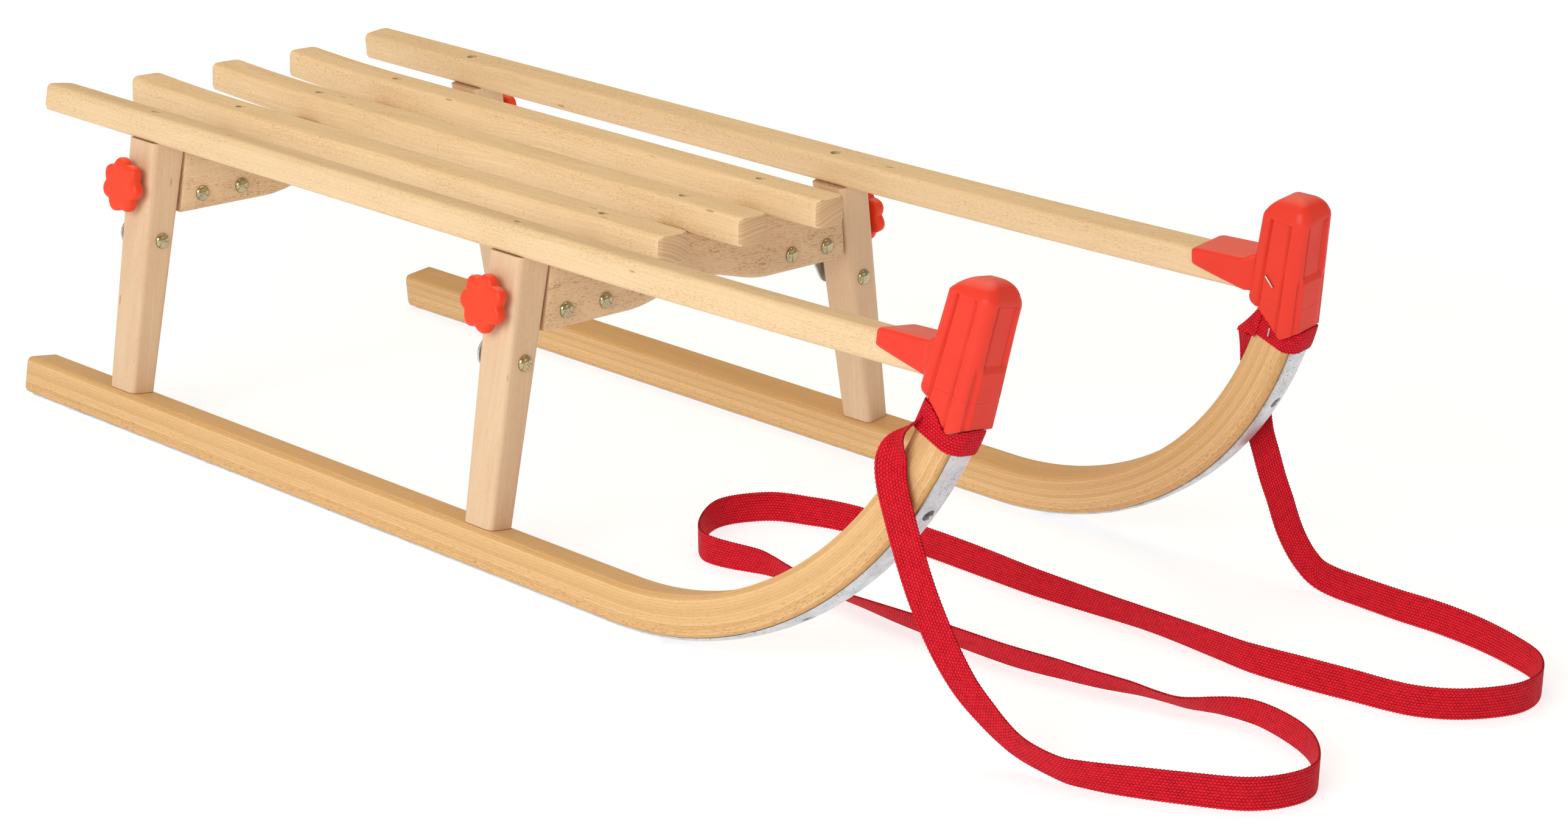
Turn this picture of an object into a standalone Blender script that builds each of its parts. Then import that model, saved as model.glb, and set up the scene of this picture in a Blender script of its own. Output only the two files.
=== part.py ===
"""Folding wooden sled with star-knob locks.

The constants are in millimetres, the scene is in metres, +X points to the curved
tips, +Y to the left, +Z up. The origin is on the floor, at the middle of the sled.

The seat unit (three slats on two crossbeams) is the fixed part. Each side frame
(runner, steel, two legs, rail, cap) is one flat frame that leans outwards by LEAN
and hangs on two coaxial pivot rivets. With its two star knobs backed off it folds
about them: the runner swings in under the seat and the rail swings out.

A side frame is described in its own plane: x along the sled, v up the frame,
w outwards, with v = w = 0 at the lower outer edge of the rail.
"""

import math

import bmesh
import bpy
from mathutils import Vector

MM = 0.001

# ---------------------------------------------------------------- dimensions
LEAN = math.radians(7.3)  # outward lean of each side frame
HALF_TOP = 176.5  # half width over the rails' lower outer edges
LEG_ROW = 408.0  # rear screw row to front screw row
ROWS = {"rear": 0.0, "front": LEG_ROW}
FLOOR_DROP = 224.715  # rail's lower edge above the floor
MIDDLE_X = 363.273  # from the rear screw row to the middle of the sled
GAP = 0.3  # touching faces

PIVOT_V, PIVOT_W = -74.6, -13.6
KNOB_V = -35.0

RAIL_TOP, RAIL_WIDE = 21.0, 27.9
RAIL_REAR, RAIL_FRONT = -124.0, 803.0
RAIL_RISE = 4.6  # how much the rail climbs from the front row to its end
SCREW_W = -14.6

SLAT_TOP, SLAT_UNDER, SLAT_WIDE = 11.7, -10.0, 31.2
SLAT_REAR, SLAT_FRONT, SLAT_PITCH = -121.3, 480.3, 79.4
SLAT_RISE = 3.5

BEAM_FRONT, BEAM_REAR = 19.2, -12.8
BEAM_TOP, BEAM_FOOT = -10.3, -57.5
BEAM_HALF_TOP, BEAM_HALF_FOOT = 147.0, 153.3
BEAM_ARCH, BEAM_ARCH_HALF = 12.0, 70.0
BEAM_RIVETS = (94.5, 132.4)
RIVET_Z = -45.0

LEG_FOOT_V = -192.6
LEG_HEAD = (-13.2, 19.2, -30.5, 0.0)  # rear, front, inner, outer at the top
LEG_FOOT = (-5.0, 24.0, -18.2, 4.25)
TENON_LONG, TENON_WIDE, TENON_DEEP = 18.0, 9.0, 17.0

RUNNER_UNDER, RUNNER_THICK = -221.5, 28.5
RUNNER_IN, RUNNER_OUT = -21.0, 7.4
RUNNER_REAR, RUNNER_BEND = -107.8, 559.7
BEND_R, BEND_TO = 290.0, math.radians(70)
TIP_R, TIP_TO = 80.0, math.radians(90)
TIP_STRAIGHT = 20.0

STRIP_IN, STRIP_OUT, STRIP_THICK = -16.8, 3.2, 2.7

STRAP_WIDE, STRAP_THICK = 23.0, 2.2

COLOURS = {
    "beech": ((0.80, 0.62, 0.40), 0.55, 0.0),
    "beech_pale": ((0.78, 0.60, 0.42), 0.6, 0.0),
    "laminate": ((0.72, 0.48, 0.24), 0.5, 0.0),
    "red_plastic": ((0.78, 0.06, 0.03), 0.42, 0.0),
    "webbing": ((0.60, 0.02, 0.05), 0.9, 0.0),
    "galvanised": ((0.62, 0.65, 0.67), 0.4, 1.0),
    "yellow_zinc": ((0.70, 0.62, 0.38), 0.3, 1.0),
    "dark_steel": ((0.30, 0.30, 0.31), 0.4, 1.0),
}


# ------------------------------------------------------------------- scene
def clear_scene():
    for obj in list(bpy.data.objects):
        bpy.data.objects.remove(obj)


def make_materials():
    made = {}
    for name, (colour, rough, metal) in COLOURS.items():
        mat = bpy.data.materials.new(name)
        mat.use_nodes = True
        shader = mat.node_tree.nodes["Principled BSDF"]
        shader.inputs["Base Color"].default_value = (*colour, 1)
        shader.inputs["Roughness"].default_value = rough
        shader.inputs["Metallic"].default_value = metal
        made[name] = mat
    return made


def empty(name, location, parent=None, tilt=0.0):
    obj = bpy.data.objects.new(name, None)
    obj.empty_display_size = 0.03
    obj.location = Vector(location) * MM
    obj.rotation_euler = (tilt, 0, 0)
    obj.parent = parent
    bpy.context.scene.collection.objects.link(obj)
    return obj


def finish_mesh(name, bm, material, parent, location=(0, 0, 0), rotation=(0, 0, 0)):
    bmesh.ops.recalc_face_normals(bm, faces=bm.faces)
    mesh = bpy.data.meshes.new(name)
    bm.to_mesh(mesh)
    bm.free()
    if material is not None:
        mesh.materials.append(MATERIALS[material])
    mesh.shade_smooth()
    mesh.set_sharp_from_angle(angle=math.radians(32))
    obj = bpy.data.objects.new(name, mesh)
    obj.location = Vector(location) * MM
    obj.rotation_euler = rotation
    obj.parent = parent
    bpy.context.scene.collection.objects.link(obj)
    return obj


def cutter(name, bm, parent, location=(0, 0, 0), rotation=(0, 0, 0)):
    obj = finish_mesh(name, bm, None, parent, location, rotation)
    obj.hide_render = True
    obj.display_type = "WIRE"
    return obj


def boolean(obj, tool, operation="DIFFERENCE"):
    mod = obj.modifiers.new(tool.name, "BOOLEAN")
    mod.operation = operation
    mod.solver = "EXACT"
    mod.object = tool


# ------------------------------------------------------------------- shapes
def rounded_rect(a0, a1, b0, b1, radius, steps=2):
    """Ring of points: along the lower half from a0 to a1, then back along the upper."""
    corners = (
        (a0 + radius, b0 + radius, 180),
        (a1 - radius, b0 + radius, 270),
        (a1 - radius, b1 - radius, 0),
        (a0 + radius, b1 - radius, 90),
    )
    ring = []
    for ca, cb, start in corners:
        for k in range(steps + 1):
            t = math.radians(start + 90 * k / steps)
            ring.append((ca + radius * math.cos(t), cb + radius * math.sin(t)))
    return ring


def loft(rings, bm=None):
    """Closed skin over rings of equal count, capped by strips across each end ring."""
    bm = bm or bmesh.new()
    rows = [[bm.verts.new(Vector(p) * MM) for p in ring] for ring in rings]
    n = len(rows[0])
    for low, high in zip(rows, rows[1:]):
        for i in range(n):
            j = (i + 1) % n
            bm.faces.new((low[i], low[j], high[j], high[i]))
    for row in (rows[0], rows[-1]):
        for i in range(n // 2 - 1):
            bm.faces.new((row[i], row[i + 1], row[n - 2 - i], row[n - 1 - i]))
    return bm


def turned(profile, steps=12, axis="z", closed=False):
    """Solid of revolution of (radius, height) points, about the local z or x axis."""
    bm = bmesh.new()
    verts = [bm.verts.new(Vector((r, 0, h)) * MM) for r, h in profile]
    pairs = list(zip(verts, verts[1:]))
    if closed:
        pairs.append((verts[-1], verts[0]))
    edges = [bm.edges.new(pair) for pair in pairs]
    bmesh.ops.spin(
        bm,
        geom=verts + edges,
        cent=(0, 0, 0),
        axis=(0, 0, 1),
        angle=2 * math.pi,
        steps=steps,
        use_merge=True,
    )
    bmesh.ops.remove_doubles(bm, verts=bm.verts, dist=1e-6)
    if axis == "x":
        for v in bm.verts:
            v.co = Vector((v.co.z, v.co.x, v.co.y))
    if axis == "y":
        for v in bm.verts:
            v.co = Vector((v.co.y, v.co.z, v.co.x))
    return bm


def add_cylinder(bm, centre, direction, radius, length, steps=12):
    """A closed cylinder from centre along direction, in millimetres."""
    d = Vector(direction).normalized()
    side = d.orthogonal().normalized()
    other = d.cross(side)
    rows = []
    for h in (0.0, length):
        base = Vector(centre) + d * h
        rows.append(
            [
                bm.verts.new(
                    (
                        base
                        + side * radius * math.cos(2 * math.pi * k / steps)
                        + other * radius * math.sin(2 * math.pi * k / steps)
                    )
                    * MM
                )
                for k in range(steps)
            ]
        )
    for k in range(steps):
        j = (k + 1) % steps
        bm.faces.new((rows[0][k], rows[0][j], rows[1][j], rows[1][k]))
    bm.faces.new(list(reversed(rows[0])))
    bm.faces.new(rows[1])
    return bm


def add_prism(bm, outline, low, high, lift):
    """A closed prism of an outline; lift(a, b, h) gives the point in millimetres."""
    rows = [[bm.verts.new(Vector(lift(a, b, h)) * MM) for a, b in outline] for h in (low, high)]
    n = len(outline)
    for k in range(n):
        j = (k + 1) % n
        bm.faces.new((rows[0][k], rows[0][j], rows[1][j], rows[1][k]))
    bm.faces.new(list(reversed(rows[0])))
    bm.faces.new(rows[1])
    return bm


def arc(ca, cb, radius, start, stop, steps):
    return [
        (
            ca + radius * math.cos(math.radians(start + (stop - start) * k / steps)),
            cb + radius * math.sin(math.radians(start + (stop - start) * k / steps)),
        )
        for k in range(steps + 1)
    ]


def hull(points):
    """Convex outline of points, anticlockwise."""
    points = sorted(set((round(a, 6), round(b, 6)) for a, b in points))

    def half(seq):
        out = []
        for p in seq:
            while len(out) > 1 and (out[-1][0] - out[-2][0]) * (p[1] - out[-2][1]) <= (
                out[-1][1] - out[-2][1]
            ) * (p[0] - out[-2][0]):
                out.pop()
            out.append(p)
        return out

    lower, upper = half(points), half(reversed(points))
    return lower[:-1] + upper[:-1]


# ------------------------------------------------------- frame coordinates
def pivot_world(side):
    y = HALF_TOP - PIVOT_V * math.sin(LEAN) + PIVOT_W * math.cos(LEAN)
    z = PIVOT_V * math.cos(LEAN) + PIVOT_W * math.sin(LEAN)
    return side * y, z


def in_frame(side, x, v, w):
    """A point of a side frame, relative to its pivot empty."""
    return (x, side * (w - PIVOT_W), v - PIVOT_V)


def rail_lift(x):
    return RAIL_RISE * ((x - LEG_ROW) / 392.0) ** 2 if x > LEG_ROW else 0.0


def runner_path():
    """(x, v, direction) along the runner's lower, convex line."""
    path = [(RUNNER_REAR, RUNNER_UNDER, 0.0)]
    for x in (-60.0, 180.0, 380.0, 500.0):
        path.append((x, RUNNER_UNDER, 0.0))
    steps = 12
    for k in range(steps + 1):
        t = BEND_TO * k / steps
        path.append(
            (
                RUNNER_BEND + BEND_R * math.sin(t),
                RUNNER_UNDER + BEND_R * (1 - math.cos(t)),
                t,
            )
        )
    x0, v0, _ = path[-1]
    cx, cv = x0 - TIP_R * math.sin(BEND_TO), v0 + TIP_R * math.cos(BEND_TO)
    for k in range(1, 4):
        t = BEND_TO + (TIP_TO - BEND_TO) * k / 3
        path.append((cx + TIP_R * math.sin(t), cv - TIP_R * math.cos(t), t))
    x1, v1, t1 = path[-1]
    path.append((x1 + TIP_STRAIGHT * math.cos(t1), v1 + TIP_STRAIGHT * math.sin(t1), t1))
    return path


def path_point(s_end):
    """(x, v, direction) at an angle along the runner's main bend, or in the tip bend."""
    if s_end <= BEND_TO:
        return (
            RUNNER_BEND + BEND_R * math.sin(s_end),
            RUNNER_UNDER + BEND_R * (1 - math.cos(s_end)),
            s_end,
        )
    x0 = RUNNER_BEND + BEND_R * math.sin(BEND_TO)
    v0 = RUNNER_UNDER + BEND_R * (1 - math.cos(BEND_TO))
    cx, cv = x0 - TIP_R * math.sin(BEND_TO), v0 + TIP_R * math.cos(BEND_TO)
    return (cx + TIP_R * math.sin(s_end), cv - TIP_R * math.cos(s_end), s_end)


def sweep_along(side, path, ring):
    """Rings of (w, height above the convex line) carried along the path."""
    rings = []
    for x, v, t in path:
        nx, nv = -math.sin(t), math.cos(t)
        rings.append([in_frame(side, x + nx * h, v + nv * h, w) for w, h in ring])
    return rings


def thick_at(t):
    return RUNNER_THICK + 2.0 * min(1.0, t / BEND_TO)


# --------------------------------------------------------------- side frames
def make_runner(side, name, parent):
    rings = []
    path = runner_path()
    for k, (x, v, t) in enumerate(path):
        nx, nv = -math.sin(t), math.cos(t)
        top = thick_at(t)
        inset = 3.0 if k == 0 else 0.0
        ring = rounded_rect(RUNNER_IN + inset / 2, RUNNER_OUT - inset / 2, inset, top - inset, 3.5)
        rings.append([in_frame(side, x + nx * h, v + nv * h, w) for w, h in ring])
        if k == 0:
            ring = rounded_rect(RUNNER_IN, RUNNER_OUT, 0, top, 3.5)
            rings.append([in_frame(side, x + 3.0, v + h, w) for w, h in ring])
    obj = finish_mesh(name, loft(rings), "laminate", parent)
    bm = bmesh.new()
    mid_w = (RUNNER_IN + RUNNER_OUT) / 2
    for row in ROWS.values():
        mid_x = row + (LEG_FOOT[0] + LEG_FOOT[1]) / 2
        hl, hw = TENON_LONG / 2 + GAP, TENON_WIDE / 2 + GAP
        outline = [(mid_x - hl, mid_w - hw), (mid_x + hl, mid_w - hw), (mid_x + hl, mid_w + hw), (mid_x - hl, mid_w + hw)]
        add_prism(
            bm, outline, LEG_FOOT_V - TENON_DEEP - GAP - 0.2, LEG_FOOT_V + 10, lambda a, b, h: in_frame(side, a, h, b)
        )
    boolean(obj, cutter(name + "_mortises", bm, parent))
    return obj


def make_strip(side, name, parent):
    path = [(RUNNER_REAR + 6.0, RUNNER_UNDER, 0.0)] + runner_path()[1:-4]
    path.append(path_point(math.radians(71.5)))
    ring = rounded_rect(STRIP_IN, STRIP_OUT, -GAP - STRIP_THICK, -GAP, 0.8, 1)
    return finish_mesh(name, loft(sweep_along(side, path, ring)), "galvanised", parent)


def leg_section(f, grow=0.0):
    r, fr, i, o = (a + (b - a) * f for a, b in zip(LEG_HEAD, LEG_FOOT))
    return rounded_rect(r - grow, fr + grow, i - grow, o + grow, 4.5)


def make_leg(side, row, name, parent):
    x0 = ROWS[row]
    rings = []
    for f in (0.0, 1.0):
        v = -GAP + (LEG_FOOT_V + GAP) * f
        rings.append([in_frame(side, x0 + x, v, w) for x, w in leg_section(f)])
    obj = finish_mesh(name, loft(rings), "beech_pale", parent)
    mid_x = x0 + (LEG_FOOT[0] + LEG_FOOT[1]) / 2
    mid_w = (RUNNER_IN + RUNNER_OUT) / 2
    bm = bmesh.new()
    hl, hw = TENON_LONG / 2, TENON_WIDE / 2
    outline = [(mid_x - hl, mid_w - hw), (mid_x + hl, mid_w - hw), (mid_x + hl, mid_w + hw), (mid_x - hl, mid_w + hw)]
    add_prism(bm, outline, LEG_FOOT_V - TENON_DEEP, LEG_FOOT_V + 8, lambda a, b, h: in_frame(side, a, h, b))
    boolean(obj, cutter(name + "_tenon", bm, parent), "UNION")
    bm = bmesh.new()
    add_cylinder(bm, in_frame(side, x0, KNOB_V, -45), in_frame(side, 0, PIVOT_V, PIVOT_W + 1), 4.6, 60)
    add_cylinder(bm, in_frame(side, x0 - 30, PIVOT_V, PIVOT_W), (1, 0, 0), 3.4, 70)
    add_cylinder(bm, in_frame(side, x0, -25.5, SCREW_W), (0, 0, 1), 2.4, 40, 8)
    boolean(obj, cutter(name + "_holes", bm, parent))
    return obj


def bar_rings(side, x0, x1, a0, a1, b0, b1, radius, lift, bow, place, mids=()):
    """Rings of a straight bar along x, with a bowed and eased end at each side."""
    half = (a1 - a0) / 2
    mid = (a0 + a1) / 2
    rings = []
    ends = [(x0, 3.0), (x0 + 2.2, 0.8), (x0 + 6.0, 0.0)]
    ends += [(x, 0.0) for x in mids]
    ends += [(x1 - 6.0, 0.0), (x1 - 2.2, 0.8), (x1, 3.0)]
    for x, inset in ends:
        near = max(0.0, 1 - min(x - x0, x1 - x) / 12.0)
        sign = 1 if x < (x0 + x1) / 2 else -1
        ring = rounded_rect(a0 + inset, a1 - inset, b0 + inset * 0.7, b1 - inset * 0.7, radius)
        rings.append(
            [place(x + sign * bow * near * ((a - mid) / half) ** 2, b + lift(x), a) for a, b in ring]
        )
    return rings


def make_rail(side, name, parent):
    rings = bar_rings(
        side,
        RAIL_REAR,
        RAIL_FRONT,
        -RAIL_WIDE,
        0.0,
        0.0,
        RAIL_TOP,
        4.5,
        rail_lift,
        1.5,
        lambda x, v, w: in_frame(side, x, v, w),
        (100.0, 300.0, LEG_ROW, 480.0, 560.0, 640.0, 720.0),
    )
    obj = finish_mesh(name, loft(rings), "beech", parent)
    bm = bmesh.new()
    for row in ROWS.values():
        profile_depth = RAIL_TOP - 7.0
        add_cylinder(bm, in_frame(side, row, profile_depth, SCREW_W), (0, 0, 1), 4.0, 12)
    boolean(obj, cutter(name + "_sinks", bm, parent))
    bm = bmesh.new()
    for row in ROWS.values():
        add_cylinder(bm, in_frame(side, row, -5.0, SCREW_W), (0, 0, 1), 2.4, RAIL_TOP, 8)
    boolean(obj, cutter(name + "_bores", bm, parent))
    return obj


def mouth_outline(shift=(0.0, 0.0)):
    """The cap's slanted lower mouth, as the outline of what is below it."""
    line = [
        (760.0, -60.0),
        (868.0, -60.0),
        (868.0, -18.0),
        (842.0, -19.0),
        (830.0, -24.0),
        (826.0, -21.5),
        (821.0, -15.0),
        (811.0, -5.0),
        (805.8, -1.6),
        (801.5, 4.5),
        (760.0, 4.5),
    ]
    return [(x + shift[0], v + shift[1]) for x, v in line]


def make_cap(side, name, parent):
    rings = []
    heights = (-27.0, 5.0, 40.0, 62.5, 69.5, 73.8, 75.4)
    shrink = (0.0, 0.0, 0.0, 0.0, 1.8, 5.5, 9.5)
    for v, s in zip(heights, shrink):
        rear, front = 801.5 + 0.19 * v, 842.1 + 0.13 * v
        inner, outer = -28.0 + 0.02 * max(v, 0), 10.0 - 0.015 * max(v, 0)
        ring = rounded_rect(rear + s, front - s, inner + s, outer - s, 6.0, 2)
        rings.append([in_frame(side, x, v, w) for x, w in ring])
    obj = finish_mesh(name, loft(rings), "red_plastic", parent)
    # sleeve over the rail's end
    rings = []
    for x, v0, v1, w0, w1 in (
        (757.0, 14.7, 26.9, -30.3, 2.5),
        (762.0, 13.6, 28.0, -30.4, 2.7),
        (800.0, 5.5, 29.2, -30.4, 3.6),
        (812.0, 5.5, 30.5, -27.0, 6.0),
    ):
        ring = rounded_rect(w0, w1, v0, v1, 2.6, 2)
        rings.append([in_frame(side, x, v, w) for w, v in ring])
    boolean(obj, cutter(name + "_sleeve", loft(rings), parent), "UNION")
    # pocket for the rail's end
    rings = []
    for x in (740.0, 760.0, 780.0, RAIL_FRONT + 0.4):
        lift = rail_lift(x)
        ring = rounded_rect(-RAIL_WIDE - 0.35, 0.35, -4.0, RAIL_TOP + lift + 0.35, 3.6, 2)
        rings.append([in_frame(side, x, v, w) for w, v in ring])
    boolean(obj, cutter(name + "_rail_socket", loft(rings), parent))
    # pocket for the runner's tip
    path = runner_path()
    near = [path_point(math.radians(64))] + path[-4:]
    x1, v1, t1 = near[-1]
    near[-1] = (x1 + 1.0 * math.cos(t1), v1 + 1.0 * math.sin(t1), t1)
    rings = []
    for x, v, t in near:
        nx, nv = -math.sin(t), math.cos(t)
        ring = rounded_rect(RUNNER_IN - 0.4, RUNNER_OUT + 0.4, -0.4, thick_at(t) + 0.4, 3.0)
        rings.append([in_frame(side, x + nx * h, v + nv * h, w) for w, h in ring])
    boolean(obj, cutter(name + "_runner_socket", loft(rings), parent))
    # hollow above the runner's tip
    rings = []
    for v, s in ((8.0, 0.0), (62.0, 0.0), (70.5, 3.0)):
        rear, front = 804.5 + 0.19 * v, 839.1 + 0.13 * v
        ring = rounded_rect(max(rear, 814.5) + s, front - s, -25.2 + s, 7.0 - s, 4.0, 2)
        rings.append([in_frame(side, x, v, w) for x, w in ring])
    boolean(obj, cutter(name + "_hollow", loft(rings), parent))
    # slanted mouth
    bm = bmesh.new()
    add_prism(bm, mouth_outline(), -60, 60, lambda a, b, h: in_frame(side, a, b, h))
    boolean(obj, cutter(name + "_mouth", bm, parent))
    return obj


def make_wrap(side, name, parent):
    """Webbing wound round the runner's tip below the cap, modelled as one sleeve."""
    low, high = math.radians(67.9), math.radians(74.0)
    rings = []
    for t in (low, math.radians(71.0), high):
        x, v, _ = path_point(t)
        nx, nv = -math.sin(t), math.cos(t)
        ring = rounded_rect(RUNNER_IN - 2.6, RUNNER_OUT + 2.6, -6.2, thick_at(t) + 2.9, 4.0)
        rings.append([in_frame(side, x + nx * h, v + nv * h, w) for w, h in ring])
    obj = finish_mesh(name, loft(rings), "webbing", parent)
    rings = []
    for t in (low - 0.03, math.radians(69.5), math.radians(71.5), high + 0.05):
        x, v, _ = path_point(t)
        nx, nv = -math.sin(t), math.cos(t)
        ring = rounded_rect(RUNNER_IN - 0.4, RUNNER_OUT + 0.4, -0.4 - STRIP_THICK - 0.3, thick_at(t) + 0.4, 3.0)
        rings.append([in_frame(side, x + nx * h, v + nv * h, w) for w, h in ring])
    boolean(obj, cutter(name + "_core", loft(rings), parent))
    bm = bmesh.new()
    above = [(x, v) for x, v in mouth_outline((-0.5, -0.8))[2:-1]]
    outline = [(760.0, 60.0), (760.0, above[-1][1])] + list(reversed(above)) + [(868.0, 60.0)]
    add_prism(bm, outline, -60, 60, lambda a, b, h: in_frame(side, a, b, h))
    boolean(obj, cutter(name + "_trim", bm, parent))
    return obj


# ------------------------------------------------------------ fasteners
def make_screw(name, parent, location, rotation, length, tip=2.0):
    """Countersunk wood screw, head up."""
    bm = turned([(0, 0), (3.5, 0), (3.5, -0.8), (2.0, -3.0), (2.0, tip - length), (0, -length)], 10)
    return finish_mesh(name, bm, "yellow_zinc", parent, location, rotation)


def dome(head, height, steps=2):
    return [
        (head * math.sin(math.radians(90 * k / (steps + 1))), height * math.cos(math.radians(90 * k / (steps + 1))))
        for k in range(steps + 1)
    ] + [(head, 0.0)]


def make_beam_rivet(name, parent, location):
    """Domed head in front of the beam, shank through beam and plate, tail behind."""
    reach = BEAM_FRONT - BEAM_REAR + GAP + 0.7 + 2.0 + GAP
    profile = dome(6.0, 3.4) + [(2.8, 0.0), (2.8, -reach), (4.4, -reach), (3.8, -reach - 1.6), (0, -reach - 1.6)]
    return finish_mesh(name, turned(profile, 12, "x"), "yellow_zinc", parent, location)


def make_pivot_rivet(side, row, name, parent):
    """Domed head on the leg's front, shoulder between the leg and the plate."""
    f = PIVOT_V / LEG_FOOT_V
    front = ROWS[row] + LEG_HEAD[1] + (LEG_FOOT[1] - LEG_HEAD[1]) * f + GAP
    rear = LEG_HEAD[0] + (LEG_FOOT[0] - LEG_HEAD[0]) * f - GAP + ROWS[row]
    shoulder = ROWS[row] - 13.5 + GAP
    tail = ROWS[row] - 15.5 - GAP
    profile = [(r, front + h) for r, h in dome(6.0, 3.4)]
    profile += [(3.0, front), (3.0, rear), (5.5, rear - 0.01), (5.5, shoulder), (3.0, shoulder - 0.01)]
    profile += [(3.0, tail), (5.0, tail - 0.01), (4.4, tail - 1.8), (0, tail - 1.8)]
    return finish_mesh(name, turned(profile, 12, "x"), "yellow_zinc", parent, in_frame(side, 0, PIVOT_V, PIVOT_W))


# ---------------------------------------------------------------- seat unit
def slat_lift(x):
    return SLAT_RISE * (x / 121.3) ** 2 if x < -14 else 0.0


def make_slat(name, y, parent):
    rings = bar_rings(
        1,
        SLAT_REAR,
        SLAT_FRONT,
        y - SLAT_WIDE / 2,
        y + SLAT_WIDE / 2,
        SLAT_UNDER,
        SLAT_TOP,
        4.5,
        slat_lift,
        1.5,
        lambda x, z, a: (x, a, z),
        (-80.0, -45.0, -14.0, 200.0),
    )
    obj = finish_mesh(name, loft(rings), "beech", parent)
    bm = bmesh.new()
    for row in ROWS.values():
        add_cylinder(bm, (row, y, SLAT_TOP - 7.0), (0, 0, 1), 4.0, 12)
    boolean(obj, cutter(name + "_sinks", bm, parent))
    bm = bmesh.new()
    for row in ROWS.values():
        add_cylinder(bm, (row, y, SLAT_UNDER - 5.0), (0, 0, 1), 2.4, 21, 8)
    boolean(obj, cutter(name + "_bores", bm, parent))
    return obj


def knob_axis(side, w):
    """World y, z (millimetres) of the knob's axis at w."""
    y = HALF_TOP - KNOB_V * math.sin(LEAN) + w * math.cos(LEAN)
    z = KNOB_V * math.cos(LEAN) + w * math.sin(LEAN)
    return side * y, z


STUD_END = -39.0
INSERT_OUT, INSERT_IN = -31.0, -44.0


def swing_slot(bm, side, row):
    """Room for the stud's end as the side frame swings about its pivot."""
    py, pz = pivot_world(1)
    y0, z0 = knob_axis(1, STUD_END - 0.6)
    low = (-math.sin(LEAN) * -4.5, -math.cos(LEAN) * 4.5)
    out_y, out_z = knob_axis(1, -24.0)
    outline = [(out_y + low[0], out_z + low[1]), (y0 + low[0], z0 + low[1])]
    tip = (y0 - low[0], z0 - low[1])
    radius = math.hypot(tip[0] - py, tip[1] - pz) + 0.3
    first = math.degrees(math.atan2(tip[1] - pz, tip[0] - py))
    last = math.degrees(math.acos((out_y - py) / radius))
    outline += arc(py, pz, radius, first, last, 5)
    add_prism(
        bm, outline, ROWS[row] - 4.6, ROWS[row] + 4.6, lambda a, b, h: (h, side * a, b)
    )
    return bm


def make_insert(side, row, name, parent):
    """Steel sleeve in the beam's end that takes the knob's stud; its mouth is slotted."""
    length = INSERT_OUT - INSERT_IN
    y, z = knob_axis(side, INSERT_IN)
    profile = [(0, 0), (7.0, 0), (7.0, length), (4.6, length), (4.6, 1.2), (0, 1.2)]
    bm = turned(profile, 16)
    obj = finish_mesh(name, bm, "galvanised", parent, (ROWS[row], y, z), (-side * (math.pi / 2 - LEAN), 0, 0))
    boolean(obj, cutter(name + "_slot", swing_slot(bmesh.new(), side, row), parent))
    return obj


def make_crossbeam(row, name, parent):
    x0 = ROWS[row]
    half = BEAM_HALF_TOP
    foot = BEAM_HALF_FOOT
    outline = [(half, BEAM_TOP), (-half, BEAM_TOP), (-foot, BEAM_FOOT)]
    steps = 14
    for k in range(steps + 1):
        y = -BEAM_ARCH_HALF + 2 * BEAM_ARCH_HALF * k / steps
        outline.append((y, BEAM_FOOT + BEAM_ARCH / 2 * (1 + math.cos(math.pi * y / BEAM_ARCH_HALF))))
    outline.append((foot, BEAM_FOOT))
    bm = bmesh.new()
    add_prism(bm, outline, x0 + BEAM_REAR, x0 + BEAM_FRONT, lambda a, b, h: (h, a, b))
    edges = [e for e in bm.edges if abs(e.verts[0].co.x - e.verts[1].co.x) < 1e-6]
    bmesh.ops.bevel(bm, geom=edges, offset=0.0015, offset_type="OFFSET", segments=1, affect="EDGES")
    obj = finish_mesh(name, bm, "beech_pale", parent)
    bm = bmesh.new()
    for y in (-1, 1):
        for at in BEAM_RIVETS:
            add_cylinder(bm, (x0 - 40, y * at, RIVET_Z), (1, 0, 0), 3.1, 90)
        iy, iz = knob_axis(y, INSERT_IN - 0.4)
        oy, oz = knob_axis(y, -20)
        add_cylinder(bm, (x0, iy, iz), (0, oy - iy, oz - iz), 7.4, 26, 16)
    for y in (-SLAT_PITCH, 0, SLAT_PITCH):
        add_cylinder(bm, (x0, y, -36.5), (0, 0, 1), 2.4, 40, 8)
    boolean(obj, cutter(name + "_holes", bm, parent))
    for side, tag in ((-1, "right"), (1, "left")):
        boolean(obj, cutter(name + "_slot_" + tag, swing_slot(bmesh.new(), side, row), parent))
    return obj


def make_hinge_plate(side, row, name, parent):
    """Steel plate behind the beam; its rounded ear carries the pivot rivet."""
    y, z = pivot_world(1)
    x0 = ROWS[row]
    lift = lambda a, b, h: (h, side * a, b)  # noqa: E731
    ear = hull(arc(y, z, 11.4, 0, 360, 20) + arc(150.0, RIVET_Z, 8.0, 0, 360, 12))
    bm = bmesh.new()
    add_prism(bm, ear, x0 - 15.5, x0 - 13.5, lift)
    obj = finish_mesh(name, bm, "galvanised", parent)
    bar = hull(arc(150.0, RIVET_Z, 8.0, 0, 360, 12) + arc(BEAM_RIVETS[0], RIVET_Z, 8.0, 0, 360, 12))
    bm = bmesh.new()
    add_prism(bm, bar, x0 - 15.5, x0 - 13.5, lift)
    boolean(obj, cutter(name + "_bar", bm, parent), "UNION")
    bm = bmesh.new()
    add_cylinder(bm, (x0 - 20, side * y, z), (1, 0, 0), 3.4, 12)
    for at in BEAM_RIVETS:
        add_cylinder(bm, (x0 - 20, side * at, RIVET_Z), (1, 0, 0), 3.15, 12)
    boolean(obj, cutter(name + "_holes", bm, parent))
    return obj


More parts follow.
